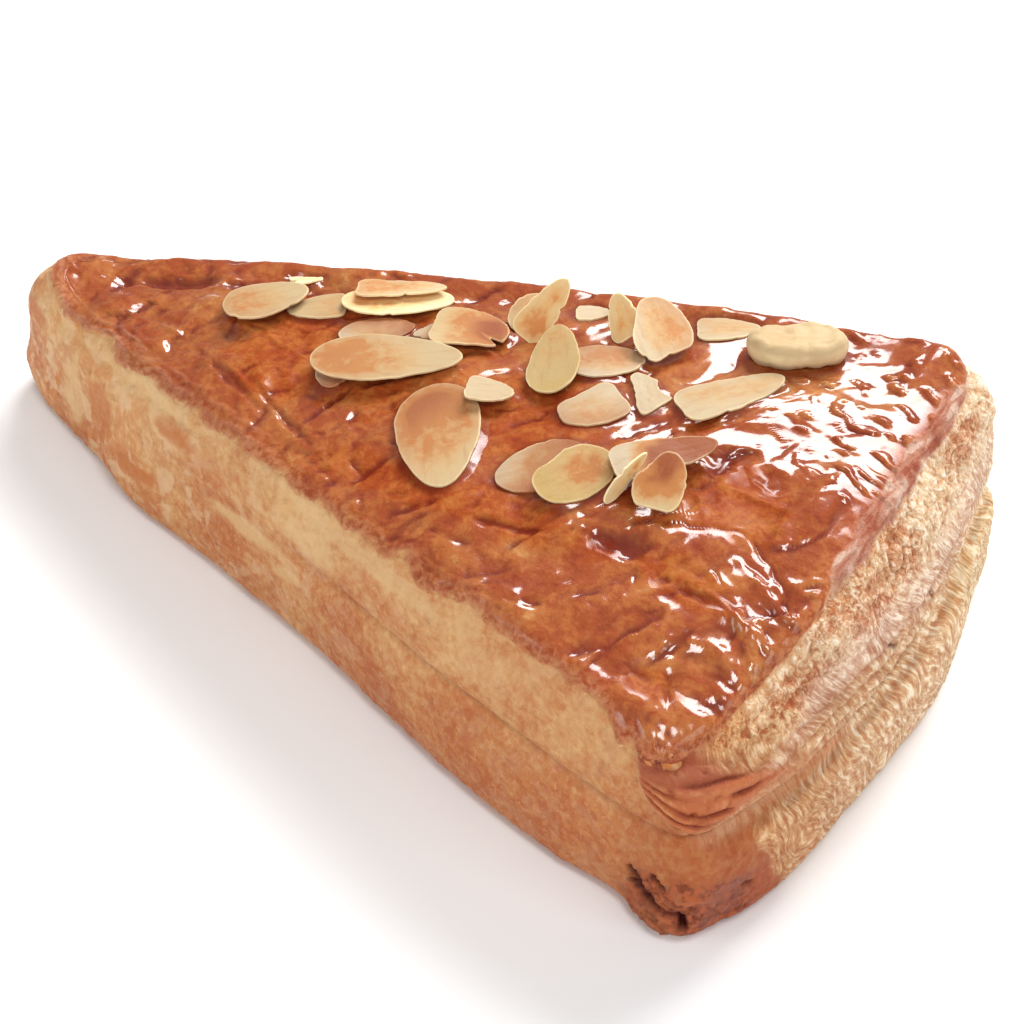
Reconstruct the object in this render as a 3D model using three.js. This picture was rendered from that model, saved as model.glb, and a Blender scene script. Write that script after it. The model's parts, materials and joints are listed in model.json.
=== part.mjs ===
// An almond pastry triangle: a folded puff pastry wedge with a glazed top and flaked almonds on it.
// Millimetres, +Z up. +X runs from the narrow tip to the wide end, and z = 0 is the flat underside.
// The fold is the long side at -Y. The long side at +Y and the wide end are cut edges.
// The body is one solid made of closed outlines stacked from the foot to the crown, and each almond
// flake is a solid of its own that lies on what is under it.

import * as THREE from "three";

const { lerp, clamp, degToRad } = THREE.MathUtils;

// ---- outline of the wedge, measured from a hub point where the wedge is wide ----
const HALF_TIP_ANGLE = degToRad(13.5); // half of the angle between the long sides
const LONG_SIDE_REACH = 34.6; // from the hub to each long side
const WIDE_END_REACH = 42; // from the hub to the wide end
const LONG_SIDE_BOW = 876; // radius of the slightly bowed long sides
const WIDE_END_BOW = 150; // radius of the bowed wide end
const CORNER_SHARPNESS = 18; // the higher, the tighter the two wide corners
const TIP_SHARPNESS = 5.7; // the same for the narrow tip
const TIP_SHARPNESS_SPREAD = 8; // the higher, the nearer to the tip its own roundness stays

// ---- heights ----
const TIP_HEIGHT = 19.4; // of the rim at the tip
const WIDE_HEIGHT = 37.9; // of the rim at the wide end
const RISE_POWER = 0.77; // the rim climbs fast near the tip and slower after it
const SIDE_LEAN = 2.8; // the cut long side stands higher than the folded one by twice this
const FOLD_CORNER_DROP = 5.5; // the wide corner on the fold side sinks by this
const CUT_CORNER_DROP = 2.2; // and the other wide corner by this
const DROP_SPREAD = 16; // how far from a corner its drop is felt
const CORNER_INSET = 6; // the centre of a drop lies this far inside the outline's box
const CROWN = 3; // how much the middle of the top stands above its rim
const SEAM_HEIGHT = 15.75; // of the groove between the lower and the upper half
const SEAM_HEIGHT_AT_TIP = 11; // it comes down towards the tip
const WRINKLE = 0.45; // half height of the shallow waves in the top
const WRINKLE_LENGTH = 17; // of one such wave

// ---- relief of the sides ----
const SEAM_DEPTH = 2.2; // of the groove
const SEAM_FADE_START = 0.3; // share of the length where the groove begins on the fold side
const SEAM_FADE_END = 0.55; // and where it has its full depth there
const LAMINATION_DEPTH = 0.55; // of the stacked pastry layers that show at a cut edge
const LAMINATION_WAVE = 13; // length of their slow rise and fall along the edge

// ---- mesh density ----
const COLUMNS = 112;
const OUTLINE_SAMPLES = 2000;
const CROWN_RINGS = [0.92, 0.82, 0.7, 0.57, 0.44, 0.31, 0.19, 0.09];

// ---- almond flakes ----
const FLAKE_THICKNESS = 1.1;
const FLAKE_EDGE = 0.45; // how far the faces of a flake stop inside its widest outline
const FLAKE_SIDES = 18;
const NOTCH_PLACE = 2; // where along a flake's outline its notch is, in radians
const NOTCH_SPREAD = 0.5;
const TOUCH_GAP = 0.3; // left between solids that touch

const UP = new THREE.Vector3(0, 0, 1);
const ORIGIN = new THREE.Vector2(0, 0);
const PASTRY_FINISH = { color: 0xc98a55, roughness: 0.55, metalness: 0 };
const ALMOND_FINISH = { color: 0xe3c393, roughness: 0.5, metalness: 0 };

function smoothStep(low, high, value) {
  return THREE.MathUtils.smoothstep(value, low, high);
}

function solidMesh(name, positions, triangles, finish) {
  const geometry = new THREE.BufferGeometry();
  geometry.setAttribute("position", new THREE.Float32BufferAttribute(positions, 3));
  geometry.setIndex(triangles);
  geometry.computeVertexNormals();
  const mesh = new THREE.Mesh(geometry, new THREE.MeshStandardMaterial(finish));
  mesh.name = name;
  return mesh;
}

// Triangles of a closed skin over stacked rings, each with the same number of points and counter-clockwise
// from above, that run from the lowest point in the middle, over the rings, to the highest in the middle.
function stackedRings(rings, bottomPoint, topPoint) {
  const count = rings[0].length;
  const points = [bottomPoint, ...rings.flat(), topPoint];
  const at = (ring, column) => 1 + ring * count + (column % count);
  const last = rings.length - 1;
  const triangles = [];
  for (let column = 0; column < count; column += 1) {
    triangles.push(0, at(0, column + 1), at(0, column));
    for (let ring = 0; ring < last; ring += 1) {
      const low = at(ring, column);
      const lowNext = at(ring, column + 1);
      const high = at(ring + 1, column);
      const highNext = at(ring + 1, column + 1);
      triangles.push(low, lowNext, highNext, low, highNext, high);
    }
    triangles.push(points.length - 1, at(last, column), at(last, column + 1));
  }
  return { positions: points.flat(), triangles };
}

// ---- plan outline ----

const SIDES = [
  { reach: LONG_SIDE_REACH, bow: LONG_SIDE_BOW, angle: -Math.PI / 2 - HALF_TIP_ANGLE }, // fold
  { reach: LONG_SIDE_REACH, bow: LONG_SIDE_BOW, angle: Math.PI / 2 + HALF_TIP_ANGLE }, // long cut edge
  { reach: WIDE_END_REACH, bow: WIDE_END_BOW, angle: 0 }, // wide end
];

// How far a ray from the hub runs to a bowed side, which is an arc whose nearest point is at the reach.
function rayToSide(theta, side, inset) {
  const radius = side.bow - inset;
  const centre = side.reach - side.bow;
  const along = centre * Math.cos(theta - side.angle);
  return along + Math.sqrt(along * along - centre * centre + radius * radius);
}

// The outline's radius is the smooth minimum of the rays to the three sides. The shares say how much
// each side counts there, from 0 to 1.
function outlineRadius(theta, insets) {
  const towardsTip = Math.max(-Math.cos(theta), 0) ** TIP_SHARPNESS_SPREAD;
  const power = lerp(CORNER_SHARPNESS, TIP_SHARPNESS, towardsTip);
  const terms = SIDES.map((side, i) => rayToSide(theta, side, insets[i]) ** -power);
  const sum = terms[0] + terms[1] + terms[2];
  return { radius: sum ** (-1 / power), shares: terms.map((term) => term / sum) };
}

// The angles of the columns, spaced evenly along the outline.
function columnAngles() {
  const samples = [];
  let length = 0;
  let before = null;
  for (let i = 0; i <= OUTLINE_SAMPLES; i += 1) {
    const theta = (2 * Math.PI * i) / OUTLINE_SAMPLES;
    const { radius } = outlineRadius(theta, [0, 0, 0]);
    const point = new THREE.Vector2(radius * Math.cos(theta), radius * Math.sin(theta));
    length += before ? point.distanceTo(before) : 0;
    samples.push({ theta, length, point });
    before = point;
  }
  const angles = [];
  let next = 1;
  for (let column = 0; column < COLUMNS; column += 1) {
    const wanted = (length * column) / COLUMNS;
    while (samples[next].length < wanted) {
      next += 1;
    }
    const low = samples[next - 1];
    const high = samples[next];
    const share = (wanted - low.length) / (high.length - low.length);
    angles.push(lerp(low.theta, high.theta, share));
  }
  return { angles, box: new THREE.Box2().setFromPoints(samples.map((sample) => sample.point)) };
}

const { angles: ANGLES, box: OUTLINE_BOX } = columnAngles();
const HUB_X = -(OUTLINE_BOX.min.x + OUTLINE_BOX.max.x) / 2; // x is measured from the middle of the outline
const HALF_LENGTH = (OUTLINE_BOX.max.x - OUTLINE_BOX.min.x) / 2;
const HALF_WIDTH = OUTLINE_BOX.max.y;

// ---- heights over the plan ----

function lengthShare(x) {
  return clamp((x + HALF_LENGTH) / (2 * HALF_LENGTH), 0, 1);
}

function cornerDrop(x, y, side, depth) {
  const dx = x - (HALF_LENGTH - CORNER_INSET);
  const dy = y - side * (HALF_WIDTH - CORNER_INSET);
  return depth * Math.exp(-(dx * dx + dy * dy) / (2 * DROP_SPREAD * DROP_SPREAD));
}

// Height of the rim over a plan point: it climbs from the tip, leans across, and sinks at the wide corners.
function rimHeight(x, y) {
  const share = lengthShare(x);
  const climb = (WIDE_HEIGHT - TIP_HEIGHT) * share ** RISE_POWER;
  const lean = SIDE_LEAN * (y / HALF_WIDTH) * share;
  const drops = cornerDrop(x, y, -1, FOLD_CORNER_DROP) + cornerDrop(x, y, 1, CUT_CORNER_DROP);
  return TIP_HEIGHT + climb + lean - drops;
}

function seamHeight(x) {
  const climb = smoothStep(0, SEAM_FADE_END, lengthShare(x));
  return lerp(SEAM_HEIGHT_AT_TIP, SEAM_HEIGHT, climb);
}

// Shallow waves in the top, from three crossing sines.
function wrinkle(x, y) {
  const turn = (2 * Math.PI) / WRINKLE_LENGTH;
  const lengthwise = Math.sin(turn * (0.9 * x + 0.5 * y));
  const crosswise = Math.sin(turn * (1.3 * y - 0.4 * x) + 1.1);
  const slow = Math.sin(turn * 0.55 * (x + y) + 2.3);
  return (WRINKLE * (lengthwise + crosswise + slow)) / 3;
}

// ---- the body ----

// Each level of the side: its height as a share of the lower or the upper half, its inset on the fold and
// on the cut edges, how much of the seam's depth it has, and which way the layers of a cut edge stand there.
const LEVELS = [
  { half: "lower", share: 0, fold: 3, cut: 3, seam: 0, layer: 0 },
  { half: "lower", share: 0.1, fold: 1, cut: 1.1, seam: 0, layer: 0 },
  { half: "lower", share: 0.28, fold: 0.2, cut: 0.3, seam: 0, layer: 0.5 },
  { half: "lower", share: 0.44, fold: 0, cut: 0.1, seam: 0, layer: -0.6 },
  { half: "lower", share: 0.6, fold: 0.1, cut: 0, seam: 0, layer: 0.6 },
  { half: "lower", share: 0.75, fold: 0.3, cut: 0.2, seam: 0, layer: -0.4 },
  { half: "lower", share: 0.87, fold: 0.5, cut: 0.5, seam: 0.1, layer: 0 },
  { half: "lower", share: 0.95, fold: 0.6, cut: 1.1, seam: 0.5, layer: 0 },
  { half: "upper", share: 0, fold: 0.6, cut: 1.6, seam: 1, layer: 0 },
  { half: "upper", share: 0.05, fold: 0.6, cut: 1.9, seam: 0.5, layer: 0 },
  { half: "upper", share: 0.14, fold: 0.6, cut: 2.3, seam: 0, layer: -0.5 },
  { half: "upper", share: 0.25, fold: 0.7, cut: 2.3, seam: 0, layer: 0.8 },
  { half: "upper", share: 0.37, fold: 0.7, cut: 2.5, seam: 0, layer: -0.9 },
  { half: "upper", share: 0.5, fold: 0.8, cut: 2.9, seam: 0, layer: 1 },
  { half: "upper", share: 0.63, fold: 1, cut: 3.8, seam: 0, layer: -0.8 },
  { half: "upper", share: 0.76, fold: 1.3, cut: 4.9, seam: 0, layer: 0.7 },
  { half: "upper", share: 0.88, fold: 1.7, cut: 6.3, seam: 0, layer: 0 },
  { half: "upper", share: 1, fold: 2.4, cut: 8.6, seam: 0, layer: 0 },
];
const LONG_CUT_SHARE = 0.35; // the long cut edge leans in by this share of what the wide end does

// One point of a level: the insets bend with the seam, which fades towards the tip on the fold side,
// and with the layers of the cut edges, which rise and fall slowly along them.
function levelPoint(level, theta) {
  const plain = outlineRadius(theta, [0, 0, 0]);
  const share = lengthShare(HUB_X + plain.radius * Math.cos(theta));
  const cutShare = plain.shares[1] + plain.shares[2];
  const foldSeam = smoothStep(SEAM_FADE_START, SEAM_FADE_END, share);
  const cutSeam = smoothStep(0, SEAM_FADE_START, share);
  const seam = SEAM_DEPTH * level.seam * lerp(foldSeam, cutSeam, cutShare);
  const wave = Math.sin((2 * Math.PI * plain.radius * theta) / LAMINATION_WAVE + 3 * level.share);
  const layer = LAMINATION_DEPTH * level.layer * cutSeam * (0.75 + 0.25 * wave);
  const longCut = lerp(level.fold, level.cut, LONG_CUT_SHARE * share);
  const insets = [level.fold + seam, longCut + seam - layer, level.cut + seam - layer];
  const { radius } = outlineRadius(theta, insets);
  const x = HUB_X + radius * Math.cos(theta);
  const y = radius * Math.sin(theta);
  const seamZ = seamHeight(x);
  const z = level.half === "lower"
    ? seamZ * level.share
    : seamZ + (rimHeight(x, y) - seamZ) * level.share;
  return [x, y, z];
}

// The top inside the rim: the rim ring shrunk towards the hub, crowned by a parabola and wrinkled.
function crownPoint(rimPoint, scale) {
  const x = HUB_X + (rimPoint[0] - HUB_X) * scale;
  const y = rimPoint[1] * scale;
  const inside = 1 - scale * scale;
  const z = rimHeight(x, y) + CROWN * inside + wrinkle(x, y) * Math.min(1, 4 * inside);
  return [x, y, z];
}

function makeBody() {
  const levels = LEVELS.map((level) => ANGLES.map((theta) => levelPoint(level, theta)));
  const rim = levels[levels.length - 1];
  const crown = CROWN_RINGS.map((scale) => rim.map((point) => crownPoint(point, scale)));
  const skin = stackedRings([...levels, ...crown], [HUB_X, 0, 0], crownPoint([HUB_X, 0, 0], 0));
  return solidMesh("pastry", skin.positions, skin.triangles, PASTRY_FINISH);
}

// ---- almond flakes ----

// Outlines of a sliced almond. taper narrows the leading end, notch bites into the left side, and each of
// breaks is a straight broken edge: the direction it faces, in degrees, and its distance from the middle.
const WHOLE = { taper: 0.26, notch: 0, breaks: [] };
const OVAL = { taper: 0.1, notch: 0, breaks: [] };
const KIDNEY = { taper: 0.06, notch: 0.3, breaks: [] };
const BLUNT = { taper: 0.2, notch: 0, breaks: [[180, 0.6]] };
const SPLIT = { taper: 0.2, notch: 0, breaks: [[270, 0.55], [175, 0.7]] };
const SHARD = { taper: 0.1, notch: 0, breaks: [[195, 0.6], [70, 0.62], [320, 0.8]] };
const CORNERED = { taper: 0.05, notch: 0, breaks: [[180, 0.72], [45, 0.7], [0, 0.88]] };

// Each flake: plan place of its middle, heading of its leading end in degrees, length, width, outline, and
// where it isn't simply lying: pitch lifts the leading end and roll lifts the left side, in degrees.
// They are laid down in this order, so a later one lies on the earlier ones that it crosses.
const FLAKES = [
  { x: -23.5, y: 6.3, heading: 212, length: 8.2, width: 6, shape: BLUNT },
  { x: -30.4, y: 3.8, heading: 46, length: 12, width: 9, shape: WHOLE },
  { x: -29.8, y: 12, heading: 30, length: 5, width: 3.8, shape: SHARD, roll: -14 },
  { x: -12.6, y: 5, heading: 38, length: 10.5, width: 5.4, shape: OVAL },
  { x: -12.9, y: -4.2, heading: 290, length: 7.5, width: 5.5, shape: OVAL },
  { x: -6.8, y: -1, heading: 25, length: 20.8, width: 9.6, shape: WHOLE },
  { x: -13.8, y: 11.8, heading: 30, length: 15.5, width: 8, shape: OVAL },
  { x: -14.3, y: 13.6, heading: 28, length: 12.5, width: 5.4, shape: BLUNT, roll: 14 },
  { x: -5.4, y: 8, heading: 200, length: 5.2, width: 4.6, shape: SHARD },
  { x: -0.8, y: 10.3, heading: 28, length: 10.8, width: 8.4, shape: SPLIT },
  { x: 4.6, y: 16, heading: 72, length: 6.2, width: 4.6, shape: OVAL, pitch: 28, roll: 30 },
  { x: 8, y: 15, heading: 68, length: 10, width: 4.8, shape: BLUNT, pitch: 40, roll: 34 },
  { x: 18.9, y: 12, heading: 32, length: 11, width: 7.6, shape: OVAL },
  { x: 13.6, y: 8.1, heading: 117, length: 13.2, width: 7.4, shape: WHOLE, pitch: 6 },
  { x: 7.6, y: -10.1, heading: 306, length: 19.5, width: 11.4, shape: WHOLE },
  { x: 9.6, y: -0.8, heading: 22, length: 6.4, width: 5.8, shape: BLUNT },
  { x: 23.4, y: 2.5, heading: 246, length: 9, width: 7.2, shape: SPLIT },
  { x: 27.8, y: 9, heading: 140, length: 8.6, width: 5.4, shape: SHARD },
  { x: 37.6, y: 13.3, heading: 54, length: 14.8, width: 6.8, shape: BLUNT },
  { x: 40.6, y: 25, heading: 30, length: 13.4, width: 8, shape: KIDNEY, thickness: 3.8 },
  { x: 11.6, y: 21.6, heading: 30, length: 4.8, width: 4, shape: BLUNT },
  { x: 17, y: 19.4, heading: 140, length: 7, width: 4.6, shape: BLUNT, pitch: 30, roll: -46 },
  { x: 22.9, y: 19, heading: 150, length: 9.6, width: 8, shape: CORNERED, pitch: 20, roll: -12 },
  { x: 29.9, y: 26.2, heading: 32, length: 8.6, width: 6, shape: BLUNT },
  { x: 23, y: -9.5, heading: 226, length: 12.4, width: 8.4, shape: OVAL },
  { x: 28.2, y: -10, heading: 58, length: 11, width: 7.8, shape: KIDNEY },
  { x: 36.8, y: -2.6, heading: 47, length: 13.8, width: 6, shape: BLUNT },
  { x: 39, y: -7.4, heading: 107, length: 8.2, width: 6.4, shape: CORNERED },
  { x: 35.4, y: -9.4, heading: 80, length: 8.2, width: 2.2, shape: WHOLE, roll: 50 },
];

// The outline of a flake, counter-clockwise, in shares of its half length and half width.
function flakeOutline(shape) {
  const points = [];
  for (let i = 0; i < FLAKE_SIDES; i += 1) {
    const turn = (2 * Math.PI * i) / FLAKE_SIDES;
    const bite = 1 - shape.notch * Math.exp(-(((turn - NOTCH_PLACE) / NOTCH_SPREAD) ** 2));
    const egg = new THREE.Vector2(Math.cos(turn), Math.sin(turn) * (1 - shape.taper * Math.cos(turn)));
    egg.y *= bite;
    for (const [facing, distance] of shape.breaks) {
      const normal = new THREE.Vector2(1, 0).rotateAround(ORIGIN, degToRad(facing));
      const reach = egg.dot(normal);
      egg.multiplyScalar(reach > distance ? distance / reach : 1);
    }
    points.push(egg);
  }
  const box = new THREE.Box2().setFromPoints(points);
  const middle = box.getCenter(new THREE.Vector2());
  const size = box.getSize(new THREE.Vector2());
  return points.map((point) => point.sub(middle).divide(size).multiplyScalar(2));
}

// A slab with that outline, whose upper and lower faces stop a little inside its edge.
function makeFlake(name, flake) {
  const thickness = flake.thickness ?? FLAKE_THICKNESS;
  const halfLength = flake.length / 2;
  const halfWidth = flake.width / 2;
  const outline = flakeOutline(flake.shape);
  const ring = (inset, z) => outline.map(({ x, y }) => [
    x * (halfLength - inset),
    y * (halfWidth - inset),
    z,
  ]);
  const edge = FLAKE_EDGE * (thickness / FLAKE_THICKNESS);
  const rings = [ring(edge, -thickness / 2), ring(0, 0), ring(edge, thickness / 2)];
  const skin = stackedRings(rings, [0, 0, -thickness / 2], [0, 0, thickness / 2]);
  return solidMesh(name, skin.positions, skin.triangles, ALMOND_FINISH);
}

// Height of what already lies under a plan point.
function supportHeight(x, y, placed) {
  const caster = new THREE.Raycaster(new THREE.Vector3(x, y, 100), new THREE.Vector3(0, 0, -1));
  const hits = caster.intersectObjects(placed, false);
  return hits.length ? hits[0].point.z : 0;
}

// Plane z = a + b x + c y of the least squares through points around a middle.
function fittedSlope(points) {
  const mean = points.reduce((sum, p) => sum.add(p), new THREE.Vector3()).divideScalar(points.length);
  let xx = 0;
  let xy = 0;
  let yy = 0;
  let xz = 0;
  let yz = 0;
  for (const point of points) {
    const d = point.clone().sub(mean);
    xx += d.x * d.x;
    xy += d.x * d.y;
    yy += d.y * d.y;
    xz += d.x * d.z;
    yz += d.y * d.z;
  }
  const scale = xx * yy - xy * xy;
  const b = (xz * yy - yz * xy) / scale;
  const c = (yz * xx - xz * xy) / scale;
  return new THREE.Vector3(-b, -c, 1).normalize();
}

// Points of a flake's lower half, in its own frame: its corners and a few between them and the middle.
function underside(mesh) {
  const positions = mesh.geometry.getAttribute("position");
  const points = [];
  for (let i = 0; i < positions.count; i += 1) {
    const point = new THREE.Vector3().fromBufferAttribute(positions, i);
    if (point.z <= 0) {
      points.push(point, point.clone().multiply(new THREE.Vector3(0.75, 0.75, 1)));
      points.push(point.clone().multiply(new THREE.Vector3(0.45, 0.45, 1)));
    }
  }
  return points;
}

// Turns a flake to the slope of what is under it, adds its own pitch and roll, and lowers it until the
// smallest gap under it is the touching gap.
function layDown(mesh, flake, placed) {
  const heading = degToRad(flake.heading);
  const pitch = degToRad(flake.pitch ?? 0);
  const roll = degToRad(flake.roll ?? 0);
  const turn = new THREE.Quaternion().setFromAxisAngle(UP, heading);
  const points = underside(mesh);
  const under = points.map((point) => {
    const spot = point.clone().applyQuaternion(turn);
    const x = flake.x + spot.x;
    const y = flake.y + spot.y;
    return new THREE.Vector3(x, y, supportHeight(x, y, placed));
  });
  const slope = new THREE.Quaternion().setFromUnitVectors(UP, fittedSlope(under));
  const ownTurn = new THREE.Quaternion().setFromEuler(new THREE.Euler(roll, -pitch, 0, "ZYX"));
  mesh.quaternion.copy(slope.multiply(turn).multiply(ownTurn));
  let lift = -Infinity;
  for (const point of points) {
    const spot = point.clone().applyQuaternion(mesh.quaternion);
    lift = Math.max(lift, supportHeight(flake.x + spot.x, flake.y + spot.y, placed) - spot.z);
  }
  mesh.position.set(flake.x, flake.y, lift + TOUCH_GAP);
  mesh.updateMatrixWorld(true);
}

const part = new THREE.Group();
const placed = [makeBody()];
placed[0].updateMatrixWorld(true);
FLAKES.forEach((flake, i) => {
  const mesh = makeFlake(`almond_flake_${String(i + 1).padStart(2, "0")}`, flake);
  layDown(mesh, flake, placed);
  placed.push(mesh);
});
part.add(...placed);
const middle = new THREE.Box3().setFromObject(part, true).getCenter(new THREE.Vector3());
part.position.set(-middle.x, -middle.y, 0); // the origin is the middle of the finished box, on the underside

export default part;
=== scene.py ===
"""Looks of the almond pastry triangle: a folded puff pastry wedge with a glazed top and flaked almonds.

Shapes are worked out in millimetres, in the part's frame, and set into the mesh in metres.
The fold is the long side at -Y. The long side at +Y and the wide end at +X are cut edges."""

import json
import math

import bmesh
import bpy
import numpy as np
from mathutils import Matrix, Vector


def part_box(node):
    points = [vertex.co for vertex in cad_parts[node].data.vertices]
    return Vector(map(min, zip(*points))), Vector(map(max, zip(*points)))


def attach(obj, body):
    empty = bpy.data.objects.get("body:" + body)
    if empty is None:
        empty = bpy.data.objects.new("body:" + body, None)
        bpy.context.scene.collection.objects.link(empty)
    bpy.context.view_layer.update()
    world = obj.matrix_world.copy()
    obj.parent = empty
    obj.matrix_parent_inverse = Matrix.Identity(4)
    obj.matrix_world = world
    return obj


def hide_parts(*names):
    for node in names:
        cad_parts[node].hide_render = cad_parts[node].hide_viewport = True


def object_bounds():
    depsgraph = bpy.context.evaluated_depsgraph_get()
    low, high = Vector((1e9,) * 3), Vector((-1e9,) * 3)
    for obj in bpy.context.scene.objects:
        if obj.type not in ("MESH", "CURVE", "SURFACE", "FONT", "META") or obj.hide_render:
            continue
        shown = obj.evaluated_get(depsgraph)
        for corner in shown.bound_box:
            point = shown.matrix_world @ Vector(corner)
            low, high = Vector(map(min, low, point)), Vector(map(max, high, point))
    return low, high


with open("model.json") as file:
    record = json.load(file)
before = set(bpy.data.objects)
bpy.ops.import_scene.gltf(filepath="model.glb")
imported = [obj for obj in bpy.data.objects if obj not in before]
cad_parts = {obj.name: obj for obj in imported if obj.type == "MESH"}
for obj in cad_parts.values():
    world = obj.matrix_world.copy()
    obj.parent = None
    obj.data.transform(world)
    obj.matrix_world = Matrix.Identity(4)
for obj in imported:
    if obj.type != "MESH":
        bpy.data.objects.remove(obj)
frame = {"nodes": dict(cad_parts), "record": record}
CAD_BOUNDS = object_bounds()
MM = 0.001
PASTRY_LOW, PASTRY_HIGH = (np.array(corner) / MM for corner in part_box("pastry"))

# ---- camera ----
VIEW_AZIMUTH = math.radians(32.69)
VIEW_ELEVATION = math.radians(43.46)
VIEW_ROLL = math.radians(0.18)
VIEW_DISTANCE = 379.75
VIEW_TARGET = (12.49, -0.4, 15)
LENS = 99.2
SENSOR_WIDTH = 36

# ---- light ----
SURROUNDINGS = 0.22  # strength of the white light from all round
LAMP_AIM = Vector((0.02, 0, 0.02))
# Rectangular lamps: direction from the aim, distance, width and height in metres, and watts.
LAMPS = {
    "front_left": ((-0.45, -0.85, 0.5), 0.8, 0.5, 0.4, 2.2),
    "right": ((0.95, -0.15, 0.45), 0.8, 0.4, 0.4, 1.8),
    "front_top": ((0.35, -0.35, 0.87), 0.9, 0.25, 0.25, 2.8),
    "back_right": ((-0.08, 0.7, 0.7), 0.65, 0.46, 0.3, 5.6),
}

# ---- the wedge: the same driving sizes as the solid ----
HALF_TIP_ANGLE = math.radians(13.5)
LONG_SIDE_REACH = 34.6
WIDE_END_REACH = 42
LONG_SIDE_BOW = 876
WIDE_END_BOW = 150
CORNER_SHARPNESS = 18
TIP_SHARPNESS = 5.7
TIP_SHARPNESS_SPREAD = 8
TIP_HEIGHT = 19.4
WIDE_HEIGHT = 37.9
RISE_POWER = 0.77
SIDE_LEAN = 2.8
FOLD_CORNER_DROP = 5.5
CUT_CORNER_DROP = 2.2
DROP_SPREAD = 16
CORNER_INSET = 6
CROWN = 3
SEAM_HEIGHT = 15.75
SEAM_HEIGHT_AT_TIP = 11
WRINKLE = 0.45
WRINKLE_LENGTH = 17
SEAM_DEPTH = 2.2
SEAM_FADE_START = 0.3
SEAM_FADE_END = 0.55
LONG_CUT_SHARE = 0.35

# Insets of the sides at levels from 0, the foot, over 1, the seam, to 2, the shoulder.
LEVELS = [0, 0.1, 0.28, 0.44, 0.6, 0.75, 0.87, 1, 1.14, 1.25, 1.37, 1.5, 1.63, 1.76, 1.88, 2]
FOLD_INSETS = [3, 1, 0.2, 0, 0.1, 0.3, 0.5, 0.6, 0.6, 0.7, 0.7, 0.8, 1, 1.3, 1.7, 2.4]
CUT_INSETS = [3, 1.1, 0.3, 0.1, 0, 0.2, 0.6, 1.6, 2.3, 2.3, 2.5, 2.9, 3.8, 4.9, 6.3, 8.6]
FOLD_SHOULDER = 3.2  # radius that rounds the shoulder over the fold
CUT_SHOULDER = 1.5  # and over the cut edges

# ---- swellings that the solid leaves out ----
# Bulges and dents of the sides: place along the outline from the fold's corner, level, how far each
# reaches in both, and how far it stands out, in mm.
BULGES = (
    (-133, 0.3, 9, 0.9, -0.6),
    (-116, 0.3, 8, 0.9, 0.9),
    (-84, 0.2, 22, 0.8, -1.1),
    (-42, 0.2, 16, 0.9, 0.9),
    (-20, 0.2, 5, 0.5, -0.5),
    (-11, 0.2, 5, 0.5, 0.5),
    (-3, 0.2, 5, 0.5, -1.1),
    (25, 0.4, 18, 0.8, -0.6),
    (68, 0.5, 13, 0.6, -1.9),
    (68, 1.4, 9, 0.4, -0.5),
    (72, 2.0, 7, 0.4, 1.4),
)
FAR_RIM_RISE = 1.3  # the rim stands up along the long cut edge
TIP_RISE = 2.0  # and at the tip
CUT_CORNER_RISE = 1.2  # and at the cut edges' corner
SEAM_RISE = 1.6  # the seam rises round the fold's corner
SEAM_RISE_PLACE = -6
SEAM_RISE_REACH = 11

# ---- mesh density ----
COLUMNS = 860
WIDE_CROWDING = 0.9  # how much closer the columns stand round the wide end, whose layers are fine
OUTLINE_SAMPLES = 6000
LOWER_ROWS = 38  # of the sides under the seam
UPPER_ROWS = 60  # and over it
SHOULDER_ROWS = 14
CROWN_ROWS = 84

SPINE_START = -64  # the crown's rings shrink onto a spine along the wedge's middle, from here
SPINE_END = 33  # to here


def mix(a, b, share):
    return a + (b - a) * share


def smooth_step(low, high, value):
    share = np.clip((value - low) / (high - low), 0, 1)
    return share * share * (3 - 2 * share)


def bump(value, middle, reach):
    """Bell curve that is 1 at the middle."""
    return np.exp(-(((value - middle) / reach) ** 2))


# ---- noise ----


def gradient_noise(points, seed):
    """Smooth noise from about -1 to 1: each corner of a unit lattice holds a random gradient, and the
    eight products of gradient and offset are blended by the quintic 6t^5 - 15t^4 + 10t^3."""
    random = np.random.default_rng(seed)
    order = random.permutation(256)
    gradients = random.normal(size=(256, 3))
    gradients /= np.linalg.norm(gradients, axis=1, keepdims=True)
    cell = np.floor(points).astype(int)
    inside = points - cell
    blend = inside**3 * (inside * (inside * 6 - 15) + 10)
    total = np.zeros(points.shape[:-1])
    for corner in np.ndindex(2, 2, 2):
        at = (cell + corner) & 255
        pick = order[(order[(order[at[..., 0]] + at[..., 1]) & 255] + at[..., 2]) & 255]
        weight = np.where(np.array(corner) == 1, blend, 1 - blend).prod(axis=-1)
        total += weight * (gradients[pick] * (inside - corner)).sum(axis=-1)
    return total * 1.6


def layered_noise(points, length, octaves, seed):
    """Sum of gradient noises, each half as long and half as strong as the one before."""
    total = 0
    for octave in range(octaves):
        total = total + gradient_noise(points * (2**octave / length), seed + octave) / 2**octave
    return total


def puffs(points, length, seed):
    """Rounded swellings from 0 to about 1 that meet in sharp creases: the size of a smooth noise."""
    return np.abs(gradient_noise(points / length, seed))


def crests(points, length, seed):
    """Sharp crests with wide valleys, from 0 to 1: where a smooth noise crosses nought."""
    return np.clip(1 - 2.2 * np.abs(gradient_noise(points / length, seed)), 0, 1)


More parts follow.
